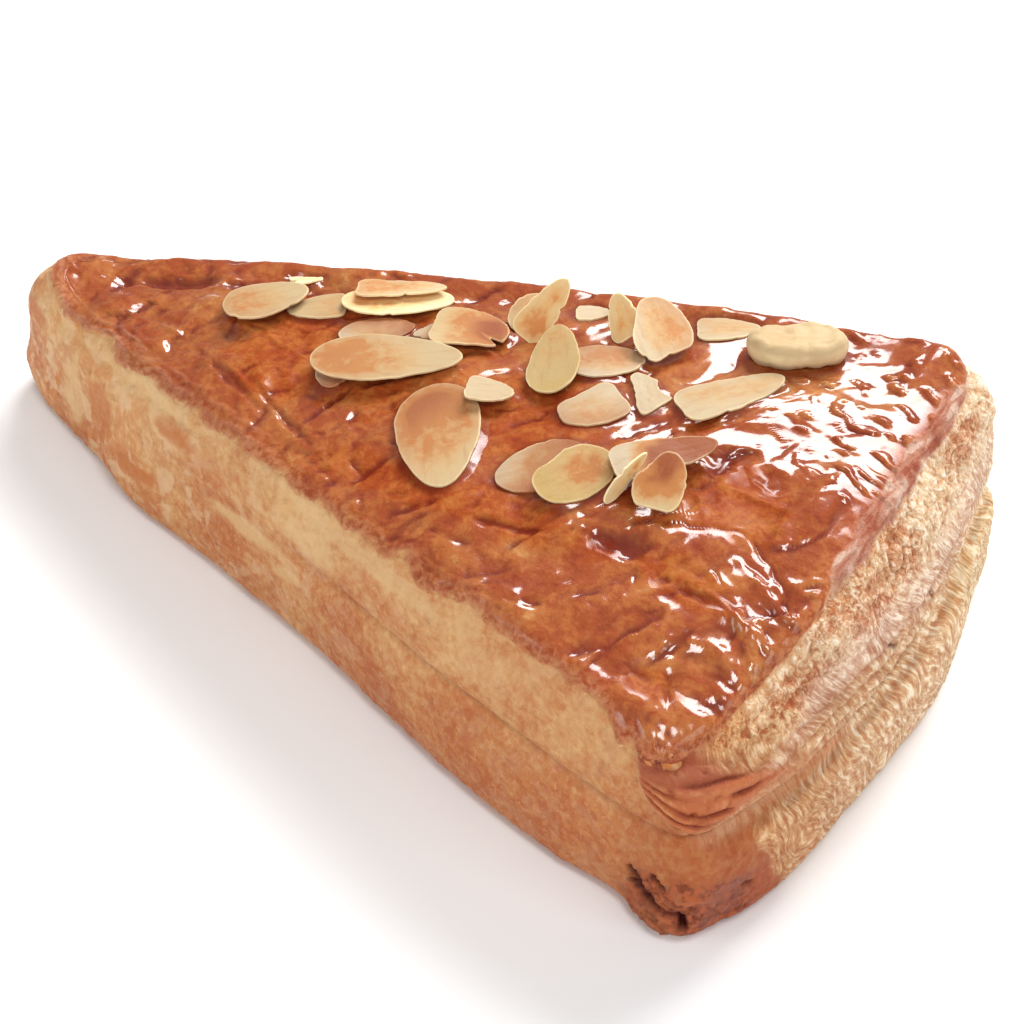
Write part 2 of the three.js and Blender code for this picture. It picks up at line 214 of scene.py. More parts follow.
def soft_plates(u, v, sharpness, seed):
    """Tilted plates on a jittered unit grid, blended by weights e^(-sharpness * distance^2).
    Returns their height from about -1 to 1, their tone from 0 to 1, and 1 at borders to 0 inside."""
    random = np.random.default_rng(seed)
    order = random.permutation(256)
    table = random.uniform(-1, 1, size=(256, 6))
    cell_u, cell_v = np.floor(u).astype(int), np.floor(v).astype(int)
    plates = []
    for step_u, step_v in np.ndindex(3, 3):
        at_u, at_v = cell_u + step_u - 1, cell_v + step_v - 1
        own = table[order[(order[at_u & 255] + at_v) & 255]]
        du = u - at_u - 0.5 - 0.4 * own[..., 0]
        dv = v - at_v - 0.5 - 0.4 * own[..., 1]
        height = 0.6 * own[..., 2] + 0.8 * (own[..., 3] * du + own[..., 4] * dv)
        plates.append((du**2 + dv**2, height, 0.5 + 0.5 * own[..., 5]))
    distance, height, tone = (np.stack(values) for values in zip(*plates))
    weight = np.exp(-sharpness * (distance - distance.min(axis=0)))
    weight /= weight.sum(axis=0)
    return (weight * height).sum(axis=0), (weight * tone).sum(axis=0), 2 * (1 - weight.max(axis=0))


# ---- plan outline ----

SIDES = (
    (LONG_SIDE_REACH, LONG_SIDE_BOW, -math.pi / 2 - HALF_TIP_ANGLE),  # fold
    (LONG_SIDE_REACH, LONG_SIDE_BOW, math.pi / 2 + HALF_TIP_ANGLE),  # long cut edge
    (WIDE_END_REACH, WIDE_END_BOW, 0),  # wide end
)


def ray_to_side(theta, side, inset):
    """Length of the ray from the hub to a bowed side, which is an arc of the bow's radius."""
    reach, bow, angle = side
    along = (reach - bow) * np.cos(theta - angle)
    return along + np.sqrt(along**2 - (reach - bow) ** 2 + (bow - inset) ** 2)


def outline_radius(theta, fold_inset=0, long_inset=0, wide_inset=0):
    """Smooth minimum of the rays to the three sides, (sum of ray^-power)^(-1/power), and each side's
    share."""
    towards_tip = np.maximum(-np.cos(theta), 0) ** TIP_SHARPNESS_SPREAD
    power = mix(CORNER_SHARPNESS, TIP_SHARPNESS, towards_tip)
    insets = (fold_inset, long_inset, wide_inset)
    terms = [ray_to_side(theta, side, inset) ** -power for side, inset in zip(SIDES, insets)]
    total = terms[0] + terms[1] + terms[2]
    return total ** (-1 / power), [term / total for term in terms]


def spaced_columns():
    """Angles along the outline, from the tip round the fold, the wide end and the cut side, closer together
    round the wide end. Returns them with their arc lengths, the perimeter and the fold corner's arc."""
    theta = np.linspace(-math.pi, math.pi, OUTLINE_SAMPLES + 1)
    radius = outline_radius(theta)[0]
    steps = np.hypot(np.diff(radius * np.cos(theta)), np.diff(radius * np.sin(theta)))
    length = np.concatenate([[0], np.cumsum(steps)])
    corner = np.interp(-CORNER_ANGLE, theta, length)
    past = length[1:] - corner
    crowding = 1 + WIDE_CROWDING * smooth_step(-28, -18, past) * smooth_step(90, 80, past)
    crowded = np.concatenate([[0], np.cumsum(steps * crowding)])
    arc = np.interp(np.linspace(0, crowded[-1], COLUMNS, endpoint=False), crowded, length)
    return np.interp(arc, length, theta), arc, length[-1], corner


# Direction of the cut edges' corner from the hub. The fold's corner mirrors it.
CORNER_ANGLE = math.atan2(LONG_SIDE_REACH / math.cos(HALF_TIP_ANGLE) + 4, WIDE_END_REACH)
THETA, ARC, PERIMETER, FOLD_CORNER_ARC = spaced_columns()
OUTLINE_X = outline_radius(THETA)[0] * np.cos(THETA)
HUB_X = -(OUTLINE_X.min() + OUTLINE_X.max()) / 2
HALF_LENGTH = (OUTLINE_X.max() - OUTLINE_X.min()) / 2
HALF_WIDTH = (outline_radius(THETA)[0] * np.sin(THETA)).max()
PLACE = ARC - FOLD_CORNER_ARC  # of each column, in mm past the fold's corner
TIP_PLACE = PERIMETER - FOLD_CORNER_ARC
# The solid's box sits a little off the outline's middle, because the corners are measured by rays.
SHIFT = (PASTRY_LOW + PASTRY_HIGH)[:2] / 2

# ---- heights over the plan ----


def length_share(x):
    return np.clip((x + HALF_LENGTH) / (2 * HALF_LENGTH), 0, 1)


def corner_drop(x, y, side, depth):
    dx = x - (HALF_LENGTH - CORNER_INSET)
    dy = y - side * (HALF_WIDTH - CORNER_INSET)
    return depth * np.exp(-(dx**2 + dy**2) / (2 * DROP_SPREAD**2))


def rim_height(x, y):
    """Height of the rim over a plan point: it climbs from the tip, leans across and sinks at the corners."""
    share = length_share(x)
    climb = (WIDE_HEIGHT - TIP_HEIGHT) * share**RISE_POWER
    lean = SIDE_LEAN * (y / HALF_WIDTH) * share
    drops = corner_drop(x, y, -1, FOLD_CORNER_DROP) + corner_drop(x, y, 1, CUT_CORNER_DROP)
    return TIP_HEIGHT + climb + lean - drops


def seam_height(x):
    return mix(SEAM_HEIGHT_AT_TIP, SEAM_HEIGHT, smooth_step(0, SEAM_FADE_END, length_share(x)))


def seam_rise(place):
    return SEAM_RISE * bump(place, SEAM_RISE_PLACE, SEAM_RISE_REACH)


def wrinkle(x, y):
    turn = 2 * math.pi / WRINKLE_LENGTH
    lengthwise = np.sin(turn * (0.9 * x + 0.5 * y))
    crosswise = np.sin(turn * (1.3 * y - 0.4 * x) + 1.1)
    slow = np.sin(turn * 0.55 * (x + y) + 2.3)
    return WRINKLE * (lengthwise + crosswise + slow) / 3


def smooth_curve(at, knots, values):
    """Cubic through the knots whose slope at each is that of its neighbours."""
    knots, values = np.array(knots, float), np.array(values, float)
    slopes = np.gradient(values, knots)
    i = np.clip(np.searchsorted(knots, at, side="right") - 1, 0, len(knots) - 2)
    width = knots[i + 1] - knots[i]
    t = np.clip((at - knots[i]) / width, 0, 1)
    start = (1 + 2 * t) * (1 - t) ** 2 * values[i] + t * (1 - t) ** 2 * width * slopes[i]
    end = t**2 * (3 - 2 * t) * values[i + 1] + t**2 * (t - 1) * width * slopes[i + 1]
    return start + end


def insets_at(level, share, groove=0):
    """Insets of the fold, the long cut edge and the wide end at a level of the side."""
    fold = smooth_curve(level, LEVELS, FOLD_INSETS)
    cut = smooth_curve(level, LEVELS, CUT_INSETS)
    long_cut = mix(fold, cut, LONG_CUT_SHARE * share)
    return fold + groove, long_cut + groove, cut + groove


def plan_point(theta, insets):
    radius, _ = outline_radius(theta, *insets)
    return HUB_X + radius * np.cos(theta), radius * np.sin(theta)


def top_height(x, y):
    """Height of the crown: the rim's height, a parabola over the share of the way in, shallow waves, and
    rises of the rim along the long cut edge, at the tip and at the cut edges' corner."""
    theta = np.arctan2(y, x - HUB_X)
    plain, shares = outline_radius(theta)
    rim, _ = outline_radius(theta, *insets_at(2.0, length_share(HUB_X + plain * np.cos(theta))))
    out = np.hypot(x - HUB_X, y) / rim
    inside = 1 - out**2
    rise = FAR_RIM_RISE * shares[1] * smooth_step(0.82, 0.99, out)
    rise = rise + TIP_RISE * smooth_step(0.78, 0.97, out) * smooth_step(-56, -66, x)
    corner = bump(np.hypot(x - HALF_LENGTH + 12, y - HALF_WIDTH + 6), 0, 10)
    rise = rise + CUT_CORNER_RISE * corner
    return rim_height(x, y) + CROWN * inside + wrinkle(x, y) * np.clip(4 * inside, 0, 1) + rise


PLAIN_RADIUS, SIDE_SHARES = outline_radius(THETA)
SHARE = length_share(HUB_X + PLAIN_RADIUS * np.cos(THETA))
CUT = SIDE_SHARES[1] + SIDE_SHARES[2]
SHOULDER = mix(FOLD_SHOULDER, CUT_SHOULDER, CUT)
SHOULDER = mix(CUT_SHOULDER, SHOULDER, smooth_step(0, 0.15, SHARE))
RIM_X, RIM_Y = plan_point(THETA, insets_at(2.0, SHARE))
SHOULDER_FOOT = top_height(RIM_X, RIM_Y) - SHOULDER
SEAM_Z = seam_height(HUB_X + PLAIN_RADIUS * np.cos(THETA)) + seam_rise(PLACE)
SPINE_X = np.clip(RIM_X + math.tan(HALF_TIP_ANGLE) * np.abs(RIM_Y), SPINE_START, SPINE_END)


def bulge_at(level):
    """How far the sides stand out at a level: the sum of the bulges and dents, each a bell both ways."""
    total = 0 * THETA
    for at_place, at_level, reach, reach_up, amount in BULGES:
        along = (PLACE - at_place + PERIMETER / 2) % PERIMETER - PERIMETER / 2
        total = total + amount * bump(along, 0, reach) * bump(level, at_level, reach_up)
    return total


def side_point(level):
    """Points of the smooth side at levels from 0 to 2, one column for each angle. The groove over the seam is
    a wide and a narrow bell together, shallower on the fold, and it fades towards the tip."""
    rise = np.where(level < 1, (level - 1) * SEAM_Z, (level - 1) * (SHOULDER_FOOT - SEAM_Z))
    fade = mix(
        smooth_step(SEAM_FADE_START, SEAM_FADE_END, SHARE), smooth_step(0, SEAM_FADE_START, SHARE), CUT
    )
    wide = mix(0.3, 0.55, CUT) * bump(rise, 1.0, 1.7)
    narrow = mix(0.22, 0.45, CUT) * bump(rise, 1.9, mix(0.8, 0.5, CUT))
    groove = SEAM_DEPTH * fade * (wide + narrow)
    x, y = plan_point(THETA, insets_at(level, SHARE, groove - bulge_at(level)))
    return np.stack([x, y, SEAM_Z + rise], axis=-1)


def shoulder_point(along):
    """Points at distances in mm past the foot of the shoulder's arc: below it they are on the side, and
    beyond its quarter circle they stay at its end."""
    level = 2 + np.minimum(along, 0) / (SHOULDER_FOOT - SEAM_Z)
    turn = np.clip(along / SHOULDER, 0, math.pi / 2)
    fold, long_cut, wide = insets_at(2.0, SHARE, -bulge_at(2.0))
    roundness = SHOULDER * (1 - np.cos(turn))
    x, y = plan_point(THETA, (fold + roundness, long_cut + roundness, wide + roundness))
    z = top_height(x, y) - SHOULDER * (1 - np.sin(turn))
    on_arc = np.stack([x, y, z], axis=-1)
    return np.where((along < 0)[..., None], side_point(level), on_arc)


def crown_point(share):
    """Points of the crown: the end of the shoulder's arc moved by a share of the way onto the spine."""
    edge = shoulder_point(SHOULDER * math.pi / 2)
    x = mix(edge[:, 0], SPINE_X, share)
    y = mix(edge[:, 1], 0, share)
    return np.stack([x, y, top_height(x, y)], axis=-1)


def surface_normals(points):
    """Outward unit normals of a grid of rows by columns, whose columns close on themselves."""
    across = np.roll(points, -1, axis=1) - np.roll(points, 1, axis=1)
    up = np.gradient(points, axis=0)
    normals = np.cross(across, up)
    return normals / np.maximum(np.linalg.norm(normals, axis=-1, keepdims=True), 1e-9)


# ---- relief of the sides ----
# Places along the sides are in mm past the fold's corner, and heights are in mm over the foot. The curves
# are two rows: places, and the heights or shares there.

LIP_TOP = (  # the upper leaf's smooth lip
    (-16.2, -14.7, -12.7, -9.7, -5.7, 0, 9, 13.5, 18, 23),
    (25.2, 23.4, 21.8, 20.8, 20.3, 20.3, 21, 20, 16, 0),
)
# The rolled layers follow a line and are squeezed together towards the fold.
ROLL_LINE = ((-16.5, -11, -5.7, 2.3, 9, 16), (25.3, 25.5, 25.4, 23.6, 22.6, 22.3))
ROLL_SQUEEZE = ((-17, -12.7, -5.7), (0.25, 0.62, 1))
ROLL_PITCH = 1.45
ROLL_DEPTH = 0.52
SHEET_PITCH = 2.3  # of the sheets over the seam, which run along it
SHEET_DEPTH = 0.45
RIPPLE_PITCH = 1.6
RIPPLE_DEPTH = 0.28
FLAKY_LOW = (  # foot of the cut edges' flaky strip
    (0, 5, 15, 25, 40, 60, 72),
    (27.5, 26, 27, 28.2, 28.5, 28, 30),
)
FLAKY_DEPTH = 0.55
BAND = (  # the dull pink band
    (0, 7, 12, 17, 24, 34, 46, 60),
    (22.2, 22.8, 24.3, 25.8, 26.6, 25.8, 25.2, 25.5),
)
COIL = (40, 32, 3.2)  # place, height and reach of a coil in the flaky strip

# Patches: place, height and reaches.
BROWNED = ((14, 28.5, 6, 1.6), (30.5, 30, 5.5, 3.4), (41, 32, 3.8, 3.8), (22, 32, 5, 1), (66, 33, 5, 2))
CREAMED = ((5, 28.4, 2.5, 1.2), (12, 30.3, 5, 1.9), (19, 31, 4, 1.6))  # pale crumbs at the glaze's border
BURNT = ((-12, 5.5, 5.2, 5.5), (-4.5, 6.5, 7.5, 5.5))  # the foot of the fold's corner
LILAC = (-2.2, 7.5, 3.6, 3.6)  # a dull lilac patch in it

# Stains of the fold: place, height, reaches, and 1 for orange or -1 for pale yellow.
STAINS = (
    (-108.5, 21.2, 4.4, 1.7, 1),
    (-115, 9, 4.5, 1.3, 1),
    (-126, 13, 3, 5.5, 0.8),
    (-99, 21, 4, 2, 0.4),
    (-147, 17.8, 4, 1.2, 0.9),
    (-134, 11, 2.5, 6, -0.8),
    (-92, 15, 7, 1.6, -0.8),
    (-82, 12.5, 4, 1.2, -0.6),
    (-77, 21.5, 5, 2.5, -0.7),
    (-120, 23, 16, 2.2, -0.5),
    (-70, 26.5, 22, 1.3, -0.5),
)

# Open cracks at the foot of the fold's corner: ends as place and height, depth and half width.
CRACKS = (
    ((-15.8, 7.6), (-14.2, 7.2), 1.9, 0.8),
    ((-13.2, 6.9), (-9, 6.8), 1.7, 0.5),
    ((-8.6, 6.4), (-8, 3.9), 1.8, 0.6),
    ((-16.6, 9.4), (-15.2, 8.9), 1.1, 0.5),
    ((-13, 10.8), (-11.6, 10.4), 0.9, 0.45),
    ((0.6, 8.4), (1.8, 7.6), 0.8, 0.4),
    ((32.4, 24), (34, 22.6), 0.7, 0.35),
    ((44.8, 23.6), (46, 22), 0.7, 0.4),
)


def patch_mask(place, height, patches, ragged):
    """Sum of bells around places and heights, each with its own reaches and weight, with ragged edges."""
    total = 0
    for patch in patches:
        away = np.hypot((place - patch[0]) / patch[2], (height - patch[1]) / patch[3])
        weight = patch[4] if len(patch) > 4 else 1
        total = total + weight * smooth_step(1.35, 0.65, away + 0.35 * ragged)
    return total


def strands(across, along, length, seed):
    """Thin crests that run along one direction, the length of each many times its pitch."""
    return crests(np.stack([across, along / length, 0 * across], axis=-1), 1, seed)


def from_segment(u, v, start, end):
    """Distance from a straight segment."""
    (u0, v0), (u1, v1) = start, end
    share = np.clip(((u - u0) * (u1 - u0) + (v - v0) * (v1 - v0)) / ((u1 - u0) ** 2 + (v1 - v0) ** 2), 0, 1)
    return np.hypot(u - mix(u0, u1, share), v - mix(v0, v1, share))


def side_relief(points, place, level):
    """How far the skin of the sides stands out, in mm, and the masks that its colours follow.

    The rolled layers are rounded folds with narrow grooves at even steps of the height over a bent line.
    The ripples are folds at even steps of a slanting distance, with strands along them. Both are bent by
    noise. The long cut edge has drawn-out layers instead of ripples. The flaky strip is crossed by tumbled
    crests in two sizes, with a coil of rings in it. Sheets over the seam and on the long cut edge are ridges
    at even steps of the height."""
    x, z = points[..., 0], points[..., 2]
    place = place + np.zeros_like(z)
    coarse = layered_noise(points, 21, 2, seed=21)
    patches = layered_noise(points, 8, 2, seed=31)
    ragged = layered_noise(points, 3.5, 3, seed=41)
    fine = gradient_noise(points / 0.9, 43)

    # where the cut face begins, over and under the seam
    over_face = smooth_step(-0.3, 0.4, z - smooth_curve(place, *LIP_TOP) + 0.2 * ragged)
    over_face = over_face * smooth_step(-17, -15.2, place + 0.5 * ragged)
    under_face = smooth_step(-0.8, 0.8, place - 2.6 - 0.45 * (15 - z) + 0.9 * ragged)
    upper = smooth_step(0.97, 1.03, level)
    face = mix(under_face, over_face, upper)
    face = face * smooth_step(TIP_PLACE - 6, TIP_PLACE - 12, place + ragged)

    # rolled layers
    drawn = points * (0.3, 0.3, 1)
    over_line = (z - smooth_curve(place, *ROLL_LINE)) / smooth_curve(place, *ROLL_SQUEEZE)
    over_line = over_line + 0.55 * gradient_noise(drawn / 2.6, 51) + 0.15 * gradient_noise(drawn / 1.3, 52)
    fold_wave = np.sqrt(np.sin(math.pi * over_line / ROLL_PITCH) ** 2 + 0.02)
    uneven = smooth_step(-0.5, 0.5, gradient_noise(drawn / 1.9, 55) + 0.3 * ragged)
    roll = 1 - (1 - np.minimum(fold_wave, 1) ** 0.7) * mix(0.3, 1.15, uneven)
    groove = smooth_step(0.5, 0.1, fold_wave) * uneven
    groove = groove * smooth_step(-0.8, 0.4, layered_noise(drawn, 1.6, 2, 54))
    rolled = smooth_step(9.5, 3.5, place + 2.4 * (z - 22.7) + 1.2 * ragged) * upper
    pits = smooth_step(0.25, 0.6, gradient_noise(points * (1, 1, 1.6) / 1.2, 53)) * bump(z, 26.8, 1)
    pits = pits * bump(place, -11, 4)

    # ripples
    slant = mix(mix(0.42, 0.8, smooth_step(20, 60, place)), 0.95, upper)
    swirl = 2.4 * gradient_noise(points / 9, 61) + 0.5 * gradient_noise(points / 3.2, 62)
    across = (place + slant * z) / np.sqrt(1 + slant**2) + swirl
    along = (z - slant * place) / np.sqrt(1 + slant**2)
    pitch = mix(RIPPLE_PITCH, 1.25 * RIPPLE_PITCH, upper)
    ripple = (0.5 + 0.5 * np.cos(2 * math.pi * across / pitch)) ** 1.2
    ripple = ripple * (0.55 + 0.5 * patches) + 0.5 * strands(across / 1.5, along, 4, 65)
    on_long_edge = smooth_step(85, 90, place)
    leaves_seen = points * (0.24, 0.24, 1) + 0.4 * gradient_noise(points / 4, 67)[..., None]
    leaves_seen = 0.8 * crests(leaves_seen, 1.5, 68) + 0.35 * crests(leaves_seen, 0.7, 69)
    ripple = mix(ripple, leaves_seen * (0.8 + 0.5 * patches), on_long_edge)

    # flaky strip and coil
    tumbled = points + 1.5 * gradient_noise(points / 2.8, 71)[..., None] * (1, -1, 1)
    tumbled = tumbled + 0.5 * gradient_noise(points / 1.1, 76)[..., None]
    flaky = np.maximum(crests(tumbled, 2.8, 72), 0.75 * crests(tumbled, 1.5, 73))
    ring = np.hypot((place - COIL[0]) / 1.3 - 0.3 * (z - COIL[1]), z - COIL[1]) + 0.8 * ragged
    coil = smooth_step(COIL[2], COIL[2] * 0.7, ring) * upper
    coil = coil * smooth_step(-0.6, 0, gradient_noise(points / 2, 75))
    turns = np.abs(np.sin(math.pi * ring / 1.5))
    flaky = mix(flaky, turns**0.8, 0.8 * coil)
    in_flaky = smooth_step(-0.9, 0.7, z - smooth_curve(place, *FLAKY_LOW) + 0.9 * patches) * upper
    in_flaky = np.where(place > 80, smooth_step(8, 5.5, SHOULDER_FOOT - z + 1.2 * patches) * upper, in_flaky)

    # dull pink band, smooth lip, and the rolled edge of the lower sheet
    band_width = mix(1.2, 2.5, smooth_step(6, 22, place))
    over_band = (z - smooth_curve(place, *BAND) + 0.7 * ragged) / band_width
    band = bump(over_band, 0, 1) * smooth_step(-2, 7, place) * smooth_step(78, 66, place) * upper
    lip = bump(z, 19.4, 1.3) * smooth_step(-24, -14, place) * smooth_step(20, 11, place) * upper
    smooth_lip = smooth_step(15.6, 16.6, z) * smooth_step(21.6, 19.4, z + 0.5 * ragged) * upper
    smooth_lip = smooth_lip * smooth_step(-9, -3, place) * smooth_step(34, 18, place)
    over_seam = z - seam_rise(place)
    # the seam's line: a shallow dent, and painted shadow in the dough's colour
    edge_line = bump(over_seam, 17.5, 0.28) * smooth_step(-90, -60, place)
    edge_line = edge_line * mix(0.4, 1, smooth_step(-22, -8, place))
    edge_line = (edge_line + 0.8 * bump(over_seam, 15.1, 0.3) * face) * (place < 95)
    edge_line = edge_line * smooth_step(-0.8, 0.2, gradient_noise(points / 5, 77))

    sheets = z - 17.5 + 0.45 * ragged + 0.9 * gradient_noise(points / 13, 79)
    sheets = np.sqrt(np.sin(math.pi * sheets / SHEET_PITCH) ** 2 + 0.01)
    in_sheets = smooth_step(4, 14, place) * smooth_step(66, 52, place) * smooth_step(27.5, 24, z) * upper
    in_sheets = np.maximum(in_sheets, 0.8 * smooth_step(84, 100, place) * smooth_step(0, 3, z))

    crest = mix(mix(ripple, ripple * (0.3 + 0.7 * sheets), in_sheets), flaky, in_flaky)
    crest = mix(crest, roll, rolled)
    depth = mix(mix(RIPPLE_DEPTH, FLAKY_DEPTH, in_flaky), ROLL_DEPTH, rolled)
    depth = depth * (1 - 0.45 * band) * mix(1, 0.6, smooth_step(21, 18, z) * upper)
    opening = smooth_step(-17, -11, place)
    cut_relief = depth * opening * (crest - 0.5) - 0.6 * pits + 0.3 * coarse - 0.3 * groove * rolled
    cut_relief = cut_relief + (0.05 + 0.09 * rolled) * fine + 0.6 * in_flaky * patches + 0.15 * patches
    roll_pits = smooth_step(0.4, 0.75, gradient_noise(points * (0.6, 0.6, 1) / 0.9, 78))
    cut_relief = cut_relief - 0.5 * rolled * roll_pits
    cut_relief = cut_relief - 0.3 * coil * smooth_step(0.5, 0.1, turns)
    ridges = SHEET_DEPTH * (np.minimum(sheets, 1) ** 0.7 - 0.6) * in_sheets
    cut_relief = cut_relief + ridges * (1 - 0.6 * in_flaky)
    skin_relief = 0.3 * coarse + 0.1 * patches + 0.05 * fine
    curls = smooth_step(0.5, 0.9, crests(points + 1.2 * ragged[..., None], 2.6, 81))
    curls = curls * smooth_step(0, 0.5, patches)
    skin_pits = smooth_step(0.45, 0.7, gradient_noise(points / 1.4, 82))
    skin_relief = skin_relief + 0.14 * curls - 0.16 * skin_pits + 0.4 * lip
    relief = mix(skin_relief, cut_relief, face) - 0.2 * edge_line

    burnt = np.clip(patch_mask(place, z, BURNT, ragged), 0, 1)
    away = np.hypot((place - LILAC[0]) / LILAC[2], (z - LILAC[1]) / LILAC[3])
    lilac = smooth_step(1.4, 0.4, away + 0.2 * ragged)
    leaves = z + 0.3 * place + 1.3 * ragged
    leaves = np.abs(np.sin(math.pi * leaves / 1.7)) ** 0.6 * mix(0.5, 1.2, smooth_step(-0.6, 0.6, patches))
    relief = relief + 0.8 * burnt * (leaves - 0.5) * (1 - face)
    crack = np.zeros_like(z)
    for start, end, crack_depth, width in CRACKS:
        away = from_segment(place + 0.5 * patches, z + 0.5 * ragged, start, end)
        crack = np.maximum(crack, crack_depth * smooth_step(1.6 * width, 0.4 * width, away))
    relief = relief * smooth_step(0, 0.12, level) - crack
    stain = patch_mask(place, z, STAINS, ragged)
    browned = patch_mask(place, z, BROWNED, ragged) + 1.2 * coil * smooth_step(0.5, 0.2, turns)
    under_rim = smooth_step(7, 1, SHOULDER_FOOT - z + 3 * patches + 1.5 * ragged)
    beyond_strip = smooth_step(38, 52, place + 6 * ragged) * mix(0.55, 1.25, smooth_step(27, 32, z))
    beyond_strip = beyond_strip * (place < 90)
    masks = {
        "face": face,
        # the crest also paints highlight on the layers' crests and shade in their valleys
        "crest": np.clip(crest, 0, 1),
        "rolled": rolled * face,
        "flaky": in_flaky,
        "browned": np.clip(browned, 0, 1) * upper,
        "band": band,
        "over_band": np.clip(0.5 + 0.4 * over_band, 0, 1),
        "lip": smooth_lip,
        "under_rim": under_rim * (1 - face) * (place < 0),
        "threads": (place + 0.7 * z) / 1.22 + swirl,
        "threads_along": (z - 0.7 * place) / 1.22,
        "lengthwise_layers": on_long_edge + 0 * z,
        "tanned": smooth_step(38, 8, place + 0.5 * z) * smooth_step(-22, -7, place),
        "creamy": np.maximum(beyond_strip, patch_mask(place, z, CREAMED, ragged)) * upper,
        "golden": smooth_step(44, 60, place) * smooth_step(90, 78, place) * (1 - upper),
        "burnt": burnt,
        "lilac": lilac,
        "leaf": leaves * burnt,
        # painted shade: near black in the cracks, the pits and the seam's line
        "hollow_shade": np.clip(np.maximum(crack, 0.8 * pits + 0.5 * edge_line), 0, 1),
        # painted shade in the rolled layers' narrow grooves
        "groove": groove * rolled * face * opening,
        "speck": np.maximum(skin_pits, 0.6 * curls) * (1 - face),
        "warm": np.clip(stain, 0, 1) * (1 - face),
        "pale": np.clip(-stain, 0, 1) * (1 - face),
        # painted shade where the relief lies under its blurred copy
        "dip_shade": hollowness(relief, 5, 0.22),
        "height": z / WIDE_HEIGHT,
        "lengthwise": length_share(x),
    }
    return relief, masks


# ---- relief of the glazed top ----

TIP_HEADING = math.radians(-14)  # direction of the crust's plates towards the tip
WIDE_HEADING = math.radians(57)  # and towards the wide end
PLATE_HEIGHT = 0.6
CRUMPLE_HEIGHT = 0.22
CREVICE_DEPTH = 0.4
GLAZE_THICKNESS = 0.12

# Hollows of the crust: place in plan, heading in degrees, half length, half width and depth.
HOLLOWS = (
    (37.5, -16, 8, 5.5, 1.5, 0.7),
    (42.5, 2.5, 62, 3.6, 1.6, 0.8),
    (50, -18, 0, 4, 0.7, 0.5),
    (51.5, -25.5, 70, 3, 0.6, 0.5),
    (24, -19.5, 12, 5, 0.6, 0.4),
    (31, 3, 60, 4, 1.0, 0.5),
    (-47, 4.5, 18, 6.5, 1.3, 0.8),
    (-54.5, 2, 85, 2.6, 1.1, 0.6),
    (-38, 7, 35, 3, 1.1, 0.6),
    (-26, -11, -22, 6.5, 0.7, 0.5),
    (-14, -14.5, -24, 6, 0.6, 0.4),
    (-10, -10, 75, 3.5, 0.5, 0.4),
    (2, -18, 70, 3, 0.6, 0.45),
)
# Patches where the glaze soaked in: middle and reaches.
DULL = (
    (47.5, -3.5, 8, 5.5),
    (48, -17.5, 7, 3),
    (52, -31.5, 3.5, 2.5),
    (-20, -4, 9, 8),
    (15, -18, 20, 3.5),
    (5, -3, 20, 7),
)
# Ridges of the crust by the fold's corner: ends in plan, height and half width.
RIDGES = (
    ((52, -17.5), (61.5, -19.5), 0.55, 0.9),
    ((56, -18.2), (60.5, -21.8), 0.5, 0.8),
    ((57, -23.5), (61, -24.8), 0.5, 1.0),
    ((59, -27), (62.5, -28.2), 0.45, 0.9),
    ((55.5, -12.5), (62, -15), 0.4, 0.7),
    ((45, -1.8), (53.5, -1.2), 0.3, 0.6),
)
# Round creases: middle and radius.
RINGS = ((-43, -6, 2.7), (-19, -5.5, 2.9), (-8, -17, 1.8))
RING_DEPTH = 0.2
RING_WIDTH = 0.6


def turned(x, y, heading, length, width):
    """Plan coordinates along and across a heading, in units of a length and a width."""
    along = x * math.cos(heading) + y * math.sin(heading)
    across = y * math.cos(heading) - x * math.sin(heading)
    return along / length, across / width


def plan_noise(x, y, seed):
    return gradient_noise(np.stack([x, y, 0 * x], axis=-1), seed)


def crust_hollows(x, y, ragged):
    """Depth of the crust's own hollows and round creases, with ragged edges."""
    total = 0
    for at_x, at_y, heading, half_length, half_width, depth in HOLLOWS:
        along, across = turned(x - at_x, y - at_y, math.radians(heading), half_length, half_width)
        total = total + depth * smooth_step(1.5, 0.3, np.hypot(along, across) + 0.5 * ragged)
    for at_x, at_y, radius in RINGS:
        away = np.hypot(x - at_x, y - at_y) + 1.1 * ragged
        broken = smooth_step(-0.3, 0.5, plan_noise(x / 2.2, y / 2.2, 155))
        total = total + RING_DEPTH * bump(away, radius, RING_WIDTH) * broken
    return total


